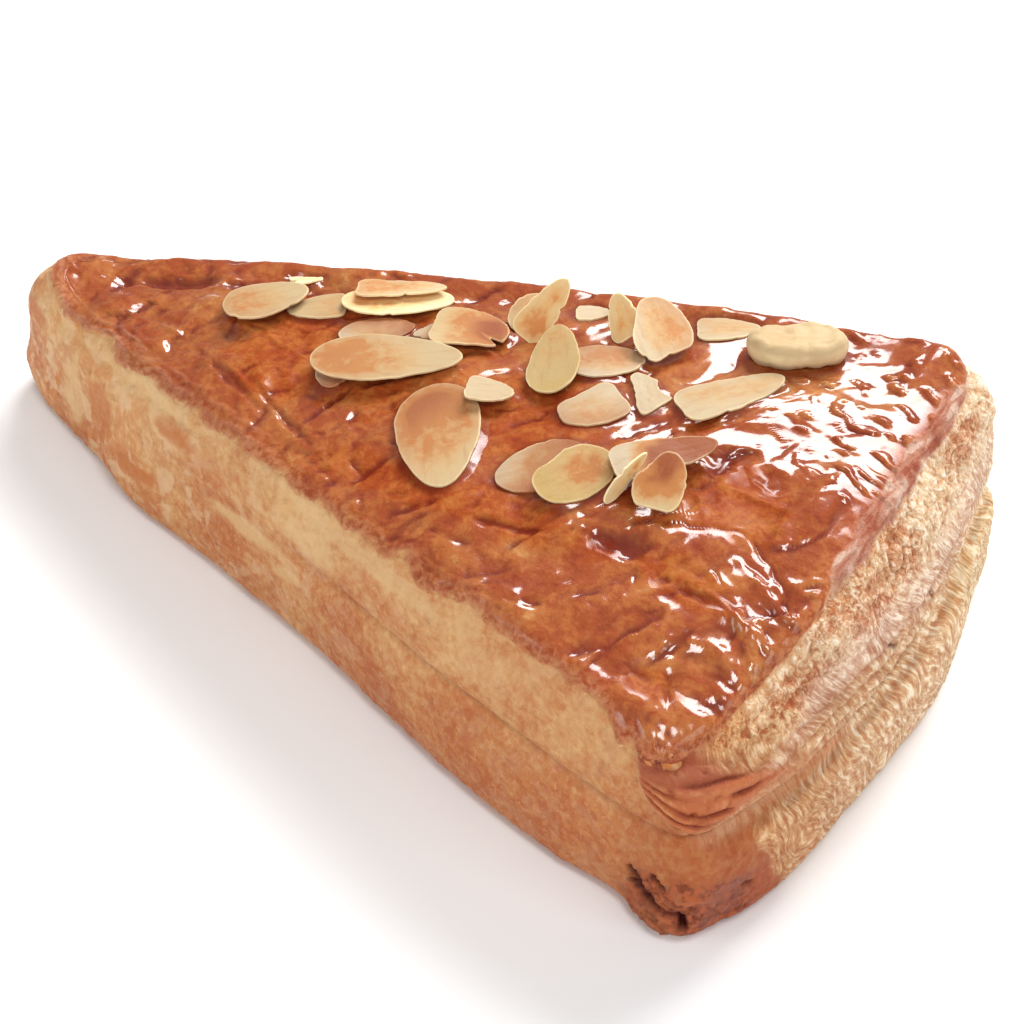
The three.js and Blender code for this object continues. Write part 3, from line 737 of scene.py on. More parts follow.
def crust_relief(x, y):
    """Relief of the glazed crust in mm and its masks. Long tilted plates lie along a heading that turns from
    tip to wide end. Small plates crumple patches of them. Their borders are torn where they are sharp. By
    the cut edges' corner the crust is calm with a few long swellings, and it rolls over at the wide end."""
    flat = np.stack([x, y, np.zeros_like(x)], axis=-1)
    bent_x = x + 2.4 * layered_noise(flat, 12, 4, 101)
    bent_y = y + 2.4 * layered_noise(flat, 12, 4, 111)
    torn = 3 + 17 * smooth_step(-0.1, 0.5, layered_noise(flat, 10, 2, 121))
    at_tip = soft_plates(*turned(bent_x, bent_y, TIP_HEADING, 9, 4.5), torn, 122)
    at_wide = soft_plates(*turned(bent_x, bent_y, WIDE_HEADING, 13, 4.5), torn, 123)
    turn = smooth_step(-26, 10, x + 6 * gradient_noise(flat / 9, 124))
    height, tone, _ = (mix(a, b, turn) for a, b in zip(at_tip, at_wide))
    patch = smooth_step(-0.2, 0.5, layered_noise(flat, 8, 2, 131) + 0.35 * smooth_step(15, -5, x))
    small_tip = soft_plates(*turned(bent_x, bent_y, TIP_HEADING, 3.2, 1.8), 7, 132)
    small_wide = soft_plates(*turned(bent_x, bent_y, WIDE_HEADING, 3.8, 1.6), 7, 133)
    small = mix(small_tip[0], small_wide[0], turn)
    blisters = smooth_step(0.42, 0.75, gradient_noise(flat / 1.9, 142))
    wrinkles = crests(np.stack([*turned(bent_x, bent_y, WIDE_HEADING, 2.6, 1), 0 * x], -1), 2.4, 145)
    relief = PLATE_HEIGHT * height + CRUMPLE_HEIGHT * small * (0.08 + patch)
    relief = relief + (0.1 * blisters + 0.07 * wrinkles) * patch + 0.3 * layered_noise(flat, 15, 2, 144)
    bent = np.stack([bent_x, bent_y, 0 * x], axis=-1)
    crevice = crests(bent, 8, 146) ** 4 * smooth_step(0.0, 0.45, layered_noise(flat, 7, 2, 147))
    fold = crests(bent + 1.1, 5.5, 148) ** 2 * smooth_step(-0.1, 0.4, gradient_noise(flat / 9, 149))
    relief = relief + 0.22 * fold + 0.02 * gradient_noise(flat / 1.2, 143)

    calm = smooth_step(41, 46, x) * smooth_step(5, 10, y + 0.6 * (x - 50))
    swelling = smooth_step(0.22, 0.5, plan_noise(*turned(bent_x, bent_y, math.radians(-22), 3.4, 1.3), 151))
    veins = plan_noise(*turned(bent_x, bent_y, math.radians(20), 4.5, 2.0), 152)
    crevice = crevice * (1 - calm)
    relief = mix(relief, 0.28 * relief + 0.42 * swelling + 0.12 * veins, calm)
    relief = relief + 0.6 * bump(x + 0.4 * veins, 56.8, 2.5) * smooth_step(-5, 1, y)
    near_fold = smooth_step(42, 52, x) * smooth_step(-7, -11, y)
    relief = relief + 0.42 * near_fold * plan_noise(bent_x / 8, bent_y / 2.5, 153)
    ragged = layered_noise(flat, 3.2, 3, 154)
    for start, end, rise, width in RIDGES:
        relief = relief + rise * bump(0.5 * ragged + from_segment(x, y, start, end), 0, width)
    sunk = np.maximum(crust_hollows(x, y, ragged), CREVICE_DEPTH * crevice)
    return relief - sunk, {"tone": tone, "sunk": np.clip(1.5 * sunk, 0, 1)}


def hollowness(relief, passes, full):
    """How far a grid of heights lies under its own blurred copy, from 0 to 1 at a full depth."""
    blurred = relief
    for _ in range(passes):
        padded = np.concatenate([blurred[:1], blurred, blurred[-1:]])
        blurred = (padded[:-2] + 2 * blurred + padded[2:]) / 4
        blurred = (np.roll(blurred, 1, 1) + 2 * blurred + np.roll(blurred, -1, 1)) / 4
    return np.clip((blurred - relief) / full, 0, 1)


# ---- meshes ----

MERGE_DISTANCE = 1e-7  # in metres


def grid_faces(rows, columns):
    """Quads of a grid whose columns close on themselves. They face out where rows go up and columns turn
    left."""
    row, column = np.meshgrid(np.arange(rows - 1), np.arange(columns), indexing="ij")
    after = (column + 1) % columns
    corners = [row * columns + column, row * columns + after]
    corners += [(row + 1) * columns + after, (row + 1) * columns + column]
    return np.stack(corners, axis=-1).reshape(-1, 4)


def make_piece(name, points, masks, finish):
    """A smooth mesh from a grid of points in mm, with each mask as an attribute of its points. Where a row
    shrinks to a point or a line, its points that meet are merged."""
    rows, columns = points.shape[:2]
    faces = grid_faces(rows, columns)
    mesh = bpy.data.meshes.new(name)
    mesh.vertices.add(rows * columns)
    mesh.vertices.foreach_set("co", (points * MM).reshape(-1).astype(np.float32))
    mesh.loops.add(faces.size)
    mesh.loops.foreach_set("vertex_index", faces.reshape(-1).astype(np.int32))
    mesh.polygons.add(len(faces))
    mesh.polygons.foreach_set("loop_start", np.arange(0, faces.size, 4, dtype=np.int32))
    mesh.update(calc_edges=True)
    for key, values in masks.items():
        attribute = mesh.attributes.new(key, "FLOAT", "POINT")
        values = np.broadcast_to(values, (rows, columns)).reshape(-1)
        attribute.data.foreach_set("value", values.astype(np.float32))
    work = bmesh.new()
    work.from_mesh(mesh)
    bmesh.ops.remove_doubles(work, verts=work.verts, dist=MERGE_DISTANCE)
    work.to_mesh(mesh)
    work.free()
    mesh.validate()
    mesh.shade_smooth()
    mesh.materials.append(finish)
    piece = bpy.data.objects.new(name, mesh)
    bpy.context.scene.collection.objects.link(piece)
    return piece


def placed(points):
    """Points moved so that the wedge's middle is where the solid's is."""
    return points + np.array([*SHIFT, 0])


SUNK_UNDER_GLAZE = 1.6  # how far the body's skin stays under the glaze near its border
CROWN_DROP = 4.5  # and its plain top further in
LYING_FLAT = 0.75  # cosine of the tilt up to which the glaze is drawn to a flake
FARTHEST_PULL = 3  # in mm; a flake farther off leaves the glaze alone
INNER_SIDE_DEPTH = (0.4, 1.7)  # of the glaze's inner side, at its border and 30 rows in
INNER_SIDE_STEP = 9  # the inner side has every ninth row, and the rows in the list beside the border
INNER_BORDER_ROWS = (11, 7, 3)


def make_pastry(finish):
    """The baked body: foot, sides with their relief, shoulder, and a plain top under the glaze."""
    foot = side_point(np.zeros((1, 1)))[0]
    spine = np.stack([SPINE_X, 0 * SPINE_X, 0 * SPINE_X], axis=-1)
    under = np.stack([mix(spine, foot, share) for share in (0, 0.4, 0.8, 0.94)])
    level = np.concatenate([np.linspace(0, 1, LOWER_ROWS), np.linspace(1, 2, UPPER_ROWS + 1)[1:]])[:, None]
    sides = side_point(level)
    turn = np.linspace(0.12, 1, 8)[:, None]
    shoulder = shoulder_point(turn * SHOULDER * math.pi / 2)
    skin = np.concatenate([sides, shoulder])
    skin_level = np.concatenate([level, 2 + 0 * turn])
    relief, masks = side_relief(skin, PLACE, skin_level)
    along = np.concatenate([(level - 2) * (SHOULDER_FOOT - SEAM_Z), turn * SHOULDER * math.pi / 2])
    relief = mix(relief, -SUNK_UNDER_GLAZE, smooth_step(0.25, 1.4, along - glaze_border()))
    skin = skin + surface_normals(skin) * relief[..., None]
    skin[..., 2] = np.maximum(skin[..., 2], 0)
    crown = np.stack([crown_point(share) for share in (0.1, 0.35, 0.7, 1)]) - (0, 0, CROWN_DROP)
    points = np.concatenate([under, skin, crown])
    for key, values in masks.items():
        below = np.repeat(values[:1], len(under), 0)
        above = np.repeat(values[-1:], len(crown), 0)
        masks[key] = np.concatenate([below, values, above])
    return make_piece("pastry_body", placed(points), masks, finish)


def glaze_border():
    """Where the glaze ends on each column, in mm past the foot of the shoulder's arc: ragged, part of the way
    up the arc over the fold, a little under its foot over the cut edges, and near it round the fold's
    corner."""
    ring = np.stack([RIM_X, RIM_Y, 0 * RIM_X], axis=-1)
    ragged = layered_noise(ring, 8, 4, seed=161)
    drip = np.clip(gradient_noise(ring / 5, 171), 0, 1)
    fold = 1.9 + 1.0 * ragged - 1.4 * drip
    fold = mix(fold, 0.2 + 0.4 * ragged, smooth_step(-18, -14, PLACE) * (PLACE < 30))
    fold = fold - 2.4 * bump(PLACE, -18.6, 1.5)
    cut = -1.5 + 0.4 * ragged - 0.6 * bump(PLACE, -3, 3)
    return mix(fold, cut, CUT)


def settle_on(points, flakes):
    """The glaze's points moved up or down to touch the undersides of the flakes that lie close to it, and a
    mask
    of a dark line around them: painted shadow, partly glaze that clings wet to the flakes."""
    wet_shadow_line = np.zeros(points.shape[:-1])
    for flake in flakes:
        middle, (lengthwise, crosswise, up) = flake["middle"], flake["axes"]
        if up[2] < LYING_FLAT:
            continue
        from_middle = points - middle
        gap = (from_middle @ up + flake["half"]) / up[2]
        under = from_middle - np.stack([0 * gap, 0 * gap, gap], axis=-1)
        a, b = under @ lengthwise, under @ crosswise
        reach = np.interp(np.arctan2(b, a), flake["turn"], flake["reach"], period=2 * math.pi)
        outside = np.hypot(a, b) - reach
        near = smooth_step(1.1, 0.6, np.abs(gap))
        pull = smooth_step(0.9, -0.3, outside) * np.where(gap > 0, 1, near)
        points[..., 2] -= pull * np.where(np.abs(gap) < FARTHEST_PULL, gap, 0)
        wet_shadow_line = np.maximum(wet_shadow_line, near * smooth_step(1.5, 0.3, np.abs(outside)))
    return wet_shadow_line


def make_glaze(finish, flakes):
    """The glazed top sheet: a thin coat over the shoulder and the crown, fading out at its border, and a
    coarser inner side under it."""
    border = glaze_border()
    end = SHOULDER * math.pi / 2
    along = mix(border - 0.8, end, np.linspace(0, 1, SHOULDER_ROWS)[:, None])
    shoulder = shoulder_point(along)
    crown = np.stack([crown_point(share) for share in np.linspace(0, 1, CROWN_ROWS + 1)[1:]])
    points = np.concatenate([shoulder, crown])
    level = np.concatenate([2 + np.minimum(along, 0) / (SHOULDER_FOOT - SEAM_Z), 2 + 0 * crown[..., 0]])
    sides, masks = side_relief(points, PLACE, level)
    top, top_masks = crust_relief(points[..., 0], points[..., 1])
    past_shoulder = np.linalg.norm(crown - shoulder[-1], axis=-1)
    inward = np.concatenate([along - border, (end - border) + past_shoulder])
    on_top = smooth_step(0.2, 4, inward)
    coat = mix(-0.7, GLAZE_THICKNESS, smooth_step(-0.8, 0.5, inward))
    ring = points + 1.3 * layered_noise(points, 6, 3, 181)[..., None]
    pleat = 1 - np.abs(np.sin(math.pi * (inward + 1.2 * gradient_noise(ring / 5, 182)) / 1.5)) ** 0.8
    pleat = pleat * bump(inward, 1.2, 2.2) * (1 - CUT)
    pleat = pleat * smooth_step(-0.4, 0.4, gradient_noise(points / 11, 183))
    relief = mix(sides, top, on_top) + coat + 0.28 * pleat
    outward = mix(surface_normals(points), np.array([0, 0, 1.0]), on_top[..., None])
    outer = placed(points + outward * relief[..., None])
    wet_shadow_line = settle_on(outer, flakes)
    masks.update(top_masks)
    # Painted shade: the crust's hollows and creases are darker red-brown, partly glaze that pools and browns
    # there, and a painted shadow line runs round the flakes.
    dark = np.maximum(hollowness(relief, 6, 0.15) * smooth_step(0, 2, inward), masks.pop("sunk") * on_top)
    masks["crease_and_shade"] = np.maximum(dark, 0.75 * wet_shadow_line)
    strip = smooth_step(20, 30, PLACE) * smooth_step(78, 72, PLACE)
    uneven = layered_noise(points, 5, 3, 184)
    edge = 3.2 * strip * (1 + 0.4 * gradient_noise(points / 6, 189)) + (1.3 + 0.45 * uneven) * CUT
    sharp = np.maximum(CUT, smooth_step(-19, -15, PLACE) * (PLACE < 30))
    masks["glazed"] = np.clip(0.5 + (inward - edge) / mix(3.2, 1.0, sharp), 0, 3)
    masks["inward"] = np.clip((inward - 0.7 * edge) / 6, 0, 1)
    masks["strip"] = strip * smooth_step(0.9, 1.7, inward + 0.5 * layered_noise(points, 4, 2, 187))
    x, y = points[..., 0], points[..., 1]
    masks["dull"] = np.clip(patch_mask(x, y, DULL, layered_noise(points, 3, 2, 188)), 0, 1)
    masks["pleat"] = pleat
    masks["rimmed"] = 0.6 * smooth_step(-2, 4, PLACE) * smooth_step(26, 18, PLACE) + 0 * pleat
    rows = np.append(np.arange(len(outer) - 1, 12, -INNER_SIDE_STEP), INNER_BORDER_ROWS)
    inner = outer[rows] - mix(*INNER_SIDE_DEPTH, smooth_step(0, 30, rows))[:, None, None] * (0, 0, 1)
    points = np.concatenate([inner, outer])
    masks = {key: np.concatenate([np.zeros(inner.shape[:2]), values]) for key, values in masks.items()}
    return make_piece("glazed_top", points, masks, finish)


# ---- almond flakes ----

FLAKE_COLUMNS = 112
FLAKE_THINNING = 0.3  # share of the solid's thickness
EDGE_RADIUS = 0.08
LUMPY_EDGE_RADIUS = 1.1
LUMPY_FROM = 1  # half thickness in mm from which a flake is a lumpy piece
BITE_STEPS = 40
BITE_SHRINKING = 0.97  # of the reach, in each step
SOLID_RIM_SHARE = 0.3  # of the half thickness, within which the solid's corners are its rim

# How far each flake is toasted, soaked with glaze and yellow, from 0 to 1 (over 1 is browned), the heading of
# its most toasted side in degrees, and how much painted light makes it pale, because it stands up or lies in
# a shadow.
FLAKE_LOOKS = {
    1: (0.4, 0.15, 0.6, 0, 0), 2: (0.5, 0.2, 0.5, -120, 0), 3: (0.5, 0, 0.2, 30, 1),
    4: (0.55, 0.85, 0, 90, 0), 5: (0.45, 0.7, 0, 0, 0.3), 6: (0.6, 0.15, 0.5, -150, 0),
    7: (0.6, 0.1, 0.3, 150, 0.8), 8: (0.6, 0.2, 0.3, 150, 0.25), 9: (0.9, 0.8, 0, 0, 0),
    10: (1.1, 0.1, 0.3, 30, 0), 11: (0.4, 0.2, 0.4, 120, 0.3), 12: (0.65, 0, 0.2, -57, 0.5),
    13: (0.6, 0.4, 0, 123, 0), 14: (0.35, 0, 0.9, 123, 0), 15: (0.8, 0.3, 0.1, 160, 0),
    16: (0.1, 0.05, 0.3, 0, 0), 17: (0.45, 0.35, 0.1, -60, 0), 18: (0.15, 0.05, 0.1, 0, 0),
    19: (0.4, 0.05, 0.3, 120, 0), 20: (0.12, 0, 0, -102, 0.1), 21: (0, 0.1, 0, 0, 0.2),
    22: (0.45, 0.05, 0.2, 0, 0.6), 23: (0.5, 0.3, 0, 60, 0.3), 24: (0.4, 0.1, 0.2, 123, 0.1),
    25: (0.95, 1, 0, 0, 0), 26: (0.7, 0, 1, 60, 0), 27: (2.4, 0.15, 0, 33, 0),
    28: (1.3, 0, 0.2, 118, 0), 29: (0.6, 0, 0.5, 0, 0.5),
}
SINKING = {8: 0.45}  # flakes that lie lower than the solid's, in mm
# Bites out of the outlines: middle in plan and radius.
BITES = {10: ((3.9, 9, 0.9),), 18: ((30.8, 12.6, 3.6),), 26: ((22.6, -4.4, 2.6),), 3: ((-31, 10.5, 0.6),)}


def flake_shape(node, sinking, bites):
    """Middle, axes (lengthwise, crosswise and up), half thickness and outline of a solid flake. The outline
    is its reach from the middle at even turns, drawn smoothly through the corners of the solid's rim."""
    mesh = node.data
    co = np.zeros(len(mesh.vertices) * 3)
    mesh.vertices.foreach_get("co", co)
    co = np.unique(np.round(co.reshape(-1, 3) / MM, 4), axis=0)
    _, axes = np.linalg.eigh(np.cov((co - co.mean(0)).T))
    up = axes[:, 0] * np.sign(axes[2, 0])
    lengthwise = axes[:, 2]
    axes = np.stack([lengthwise, np.cross(up, lengthwise), up])
    local = (co - co.mean(0)) @ axes.T
    offset = (local.max(0) + local.min(0)) / 2
    local = local - offset
    thickness = local[:, 2].max()
    rim = local[np.abs(local[:, 2]) < SOLID_RIM_SHARE * thickness]
    angle = np.arctan2(rim[:, 1], rim[:, 0])
    order = np.argsort(angle)
    knots = np.concatenate([angle[order] - 2 * math.pi, angle[order], angle[order] + 2 * math.pi])
    reach = np.tile(np.hypot(rim[order, 0], rim[order, 1]), 3)
    turn = np.linspace(-math.pi, math.pi, FLAKE_COLUMNS, endpoint=False)
    half = thickness * (1 if thickness > LUMPY_FROM else FLAKE_THINNING)
    middle = co.mean(0) + offset @ axes - axes[2] * (thickness - half + sinking)
    reach = smooth_curve(turn, knots, reach)
    for x, y, radius in bites:
        for _ in range(BITE_STEPS):
            at = middle + reach[:, None] * (np.cos(turn)[:, None] * axes[0] + np.sin(turn)[:, None] * axes[1])
            reach = np.where(np.hypot(at[:, 0] - x, at[:, 1] - y) < radius, BITE_SHRINKING * reach, reach)
    return {
        "middle": middle,
        "axes": axes,
        "thickness": thickness,
        "half": half,
        "turn": turn,
        "reach": reach,
    }


def make_flake(number, shape, finish):
    """A thin slice with a squarish cut edge, a slight warp and fine unevenness. Its rings, each an inset, a
    height and a share of the reach, run from the middle of the underside over the edge to that of the top."""
    turn, half = shape["turn"], shape["half"]
    lumpy = shape["thickness"] > LUMPY_FROM
    radius = LUMPY_EDGE_RADIUS if lumpy else EDGE_RADIUS
    # Each flake lies at its own height in the noise.
    circle = np.stack([np.cos(turn), np.sin(turn), 0 * turn + number * 7.3], axis=-1)
    reach = shape["reach"] + 0.12 * layered_noise(circle * (2, 2, 1), 0.8, 3, 181)
    reach = reach - 0.35 * smooth_step(0.45, 0.8, gradient_noise(circle * (2.4, 2.4, 1), 182))
    rings = [(radius, -1, share) for share in (0, 0.4, 0.75, 0.92, 1)]
    for a in np.linspace(-math.pi / 2, math.pi / 2, 8):
        round_edge = math.sin(a)
        squarish_edge = np.sign(round_edge) * abs(round_edge) ** 0.6
        rings.append((radius * (1 - math.cos(a)), round_edge if lumpy else squarish_edge, 1))
    rings += [(radius + inset / 2 if lumpy else inset, 1, 1) for inset in (0.2, 0.36, 0.6, 1.05)]
    last = radius + 0.52 if lumpy else 1.05
    rings += [(last, 1, share) for share in (0.9, 0.78, 0.65, 0.52, 0.39, 0.26, 0.13, 0)]
    inset, height, share = (np.array(values)[:, None] for values in zip(*rings))
    out = np.maximum(reach - np.minimum(inset, 0.45 * reach), 0.1) * share
    a, b = out * np.cos(turn), out * np.sin(turn)
    spot = np.stack([a, b, 0 * a + number * 11.7], axis=-1)
    warp = 0.2 * gradient_noise(spot / 7, 191) + 0.05 * gradient_noise(spot / 2.2, 192)
    fibres = 0.025 * gradient_noise(spot * (0.25, 1.6, 1), 193)
    up = height * half + warp + fibres * (height > 0)
    if lumpy:
        up = up + height * (0.7 * puffs(spot, 3.4, 201) - 0.45)
        up = up + 0.12 * height * gradient_noise(spot / 1.2, 202)
    points = shape["middle"] + np.stack([a, b, up], axis=-1) @ shape["axes"]
    toasted, soaked, yellow, warm_side, pale = FLAKE_LOOKS[number]
    warm_side = math.radians(warm_side)
    towards = (points - shape["middle"])[..., :2] @ (math.cos(warm_side), math.sin(warm_side)) / reach.mean()
    from_edge = np.maximum(reach - out, 0)
    inside = smooth_step(0.2, 2.6, from_edge + 0.7 * gradient_noise(spot / 2.6, 194))
    glossy = soaked * np.clip(0.8 + 0.8 * towards, 0.2, 1.2)
    up = up + 0.1 * glossy * (height > 0) * puffs(spot, 1.3, 195)
    points = shape["middle"] + np.stack([a, b, up], axis=-1) @ shape["axes"]
    toasting = mix(0.7 if toasted > 0.9 else 0.4, 1.15, inside) * (1 + 0.9 * towards)
    masks = {
        # rim: a lighter edge, partly the cut almond's own colour and partly painted light on the shaded side
        # walls
        "rim": np.where(height > -0.9, 1 - smooth_step(0.03, 0.3, from_edge), 0.4),
        "toasted": toasted * np.clip(toasting, 0, 2),
        "inside": inside,
        "soaked": np.clip(glossy, 0, 1),
        # painted light: how much paler the flake is made, because it stands up or lies in a shadow
        "pale": pale + 0 * a,
        "yellow": yellow + 0 * a,
        "across": b / reach.mean(),
        "along": a / reach.mean(),
    }
    piece = make_piece(f"flake_{number:02d}", points, masks, finish)
    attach(piece, "root")
    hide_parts(f"almond_flake_{number:02d}")
    return piece


# ---- shader nodes ----


def feed(tree, node, values):
    """Sets a node's inputs by their place or name, or links them to outputs. Colours are red, green, blue."""
    for key, value in values.items():
        socket = node.inputs[key]
        if isinstance(value, bpy.types.NodeSocket):
            tree.links.new(value, socket)
        elif socket.type == "RGBA":
            socket.default_value = (*value, 1)
        else:
            socket.default_value = value


def add(tree, kind, **values):
    """A node with its settings. Values whose names begin with in_ are fed to its inputs."""
    made = tree.nodes.new(kind)
    for key, value in values.items():
        if key.startswith("in_"):
            name = key[3:]
            feed(tree, made, {int(name) if name.isdigit() else name: value})
        else:
            setattr(made, key, value)
    return made


def blend_colours(tree, share, first, second, mode="MIX"):
    return add(
        tree, "ShaderNodeMix", data_type="RGBA", blend_type=mode, in_0=share, in_6=first, in_7=second
    ).outputs[2]


def calculate(tree, operation, first, second=0.0, third=0.0, clamp=False):
    return add(
        tree, "ShaderNodeMath", operation=operation, use_clamp=clamp, in_0=first, in_1=second, in_2=third
    ).outputs[0]


def blend_values(tree, share, first, second):
    return add(tree, "ShaderNodeMix", in_0=share, in_2=first, in_3=second).outputs[0]


def raised(tree, height, distance, over=None):
    """Normal of a relief whose full height is a distance in metres, over another normal."""
    under = {} if over is None else {"in_Normal": over}
    return add(
        tree, "ShaderNodeBump", in_Height=height, in_Distance=distance, in_Strength=1.0, **under
    ).outputs["Normal"]


def combine(tree, x, y, z=0.0):
    return add(tree, "ShaderNodeCombineXYZ", in_0=x, in_1=y, in_2=z).outputs[0]


def spread(tree, value, low, high, to_low=0.0, to_high=1.0):
    """A value's range from low to high, smoothed onto another range."""
    return add(
        tree, "ShaderNodeMapRange", interpolation_type="SMOOTHSTEP",
        in_0=value, in_1=low, in_2=high, in_3=to_low, in_4=to_high,
    ).outputs[0]


def times(tree, first, second, clamp=False):
    return calculate(tree, "MULTIPLY", first, second, clamp=clamp)


def varied(tree, value, pattern, amount):
    """A value moved up and down by an amount of a pattern that runs about a half."""
    from_half = calculate(tree, "SUBTRACT", pattern, 0.5)
    return calculate(tree, "MULTIPLY_ADD", from_half, amount, value)


def mask(tree, name, strength=None):
    value = add(tree, "ShaderNodeAttribute", attribute_name=name).outputs["Fac"]
    return value if strength is None else times(tree, value, strength)


def position(tree, scale=(1, 1, 1)):
    """Object coordinates in millimetres, stretched by the scale."""
    coordinates = add(tree, "ShaderNodeTexCoord").outputs["Object"]
    size = tuple(s / MM for s in scale)
    return add(tree, "ShaderNodeMapping", in_Vector=coordinates, in_Scale=size).outputs[0]


def noise(tree, where, length, detail=2.0, roughness=0.5, distortion=0.0):
    return add(
        tree, "ShaderNodeTexNoise", in_Vector=where, in_Scale=1 / length, in_Detail=detail,
        in_Roughness=roughness, in_Distortion=distortion,
    ).outputs["Fac"]


def new_finish(name):
    """A material whose node tree holds only a Principled BSDF and the output."""
    finish = bpy.data.materials.new(name)
    finish.use_nodes = True
    tree = finish.node_tree
    return finish, tree, tree.nodes["Principled BSDF"]


def grain_group():
    """Normal of a fine grain, for the glaze and the almonds: Size in mm and Depth in metres."""
    group = bpy.data.node_groups.new("fine_grain", "ShaderNodeTree")
    for socket, default in (("Size", 1.0), ("Depth", 0.0001)):
        made = group.interface.new_socket(socket, in_out="INPUT", socket_type="NodeSocketFloat")
        made.default_value = default
    group.interface.new_socket("Normal", in_out="OUTPUT", socket_type="NodeSocketVector")
    entry = group.nodes.new("NodeGroupInput")
    leave = group.nodes.new("NodeGroupOutput")
    where = position(group)
    rate = calculate(group, "DIVIDE", 1.0, entry.outputs["Size"])
    coarse = add(
        group, "ShaderNodeTexNoise", in_Vector=where, in_Scale=rate, in_Detail=4.0, in_Roughness=0.6
    ).outputs["Fac"]
    feed(group, leave, {"Normal": raised(group, coarse, entry.outputs["Depth"])})
    return group


def fine_grain(tree, group, size, depth):
    return add(tree, "ShaderNodeGroup", node_tree=group, in_Size=size, in_Depth=depth).outputs["Normal"]


# ---- finishes ----


def stepped(tree, value, *stops):
    """Colours blended smoothly along a value: each stop is a place and a colour."""
    result = stops[0][1]
    for (low, _), (high, tint) in zip(stops, stops[1:]):
        result = blend_colours(tree, spread(tree, value, low, high), result, tint)
    return result


def coated(tree, base, *coats):
    """A colour under coats that lie one over another. A coat is its share, which is a value or a mask's name
    with its strength, and its colour."""
    for *share, tint in coats:
        value = mask(tree, *share) if isinstance(share[0], str) else share[0]
        base = blend_colours(tree, value, base, tint)
    return base


def multiplied(tree, share, base, factors):
    """A colour times factors, by a share."""
    return blend_colours(tree, share, base, blend_colours(tree, 1.0, base, factors, "MULTIPLY"))


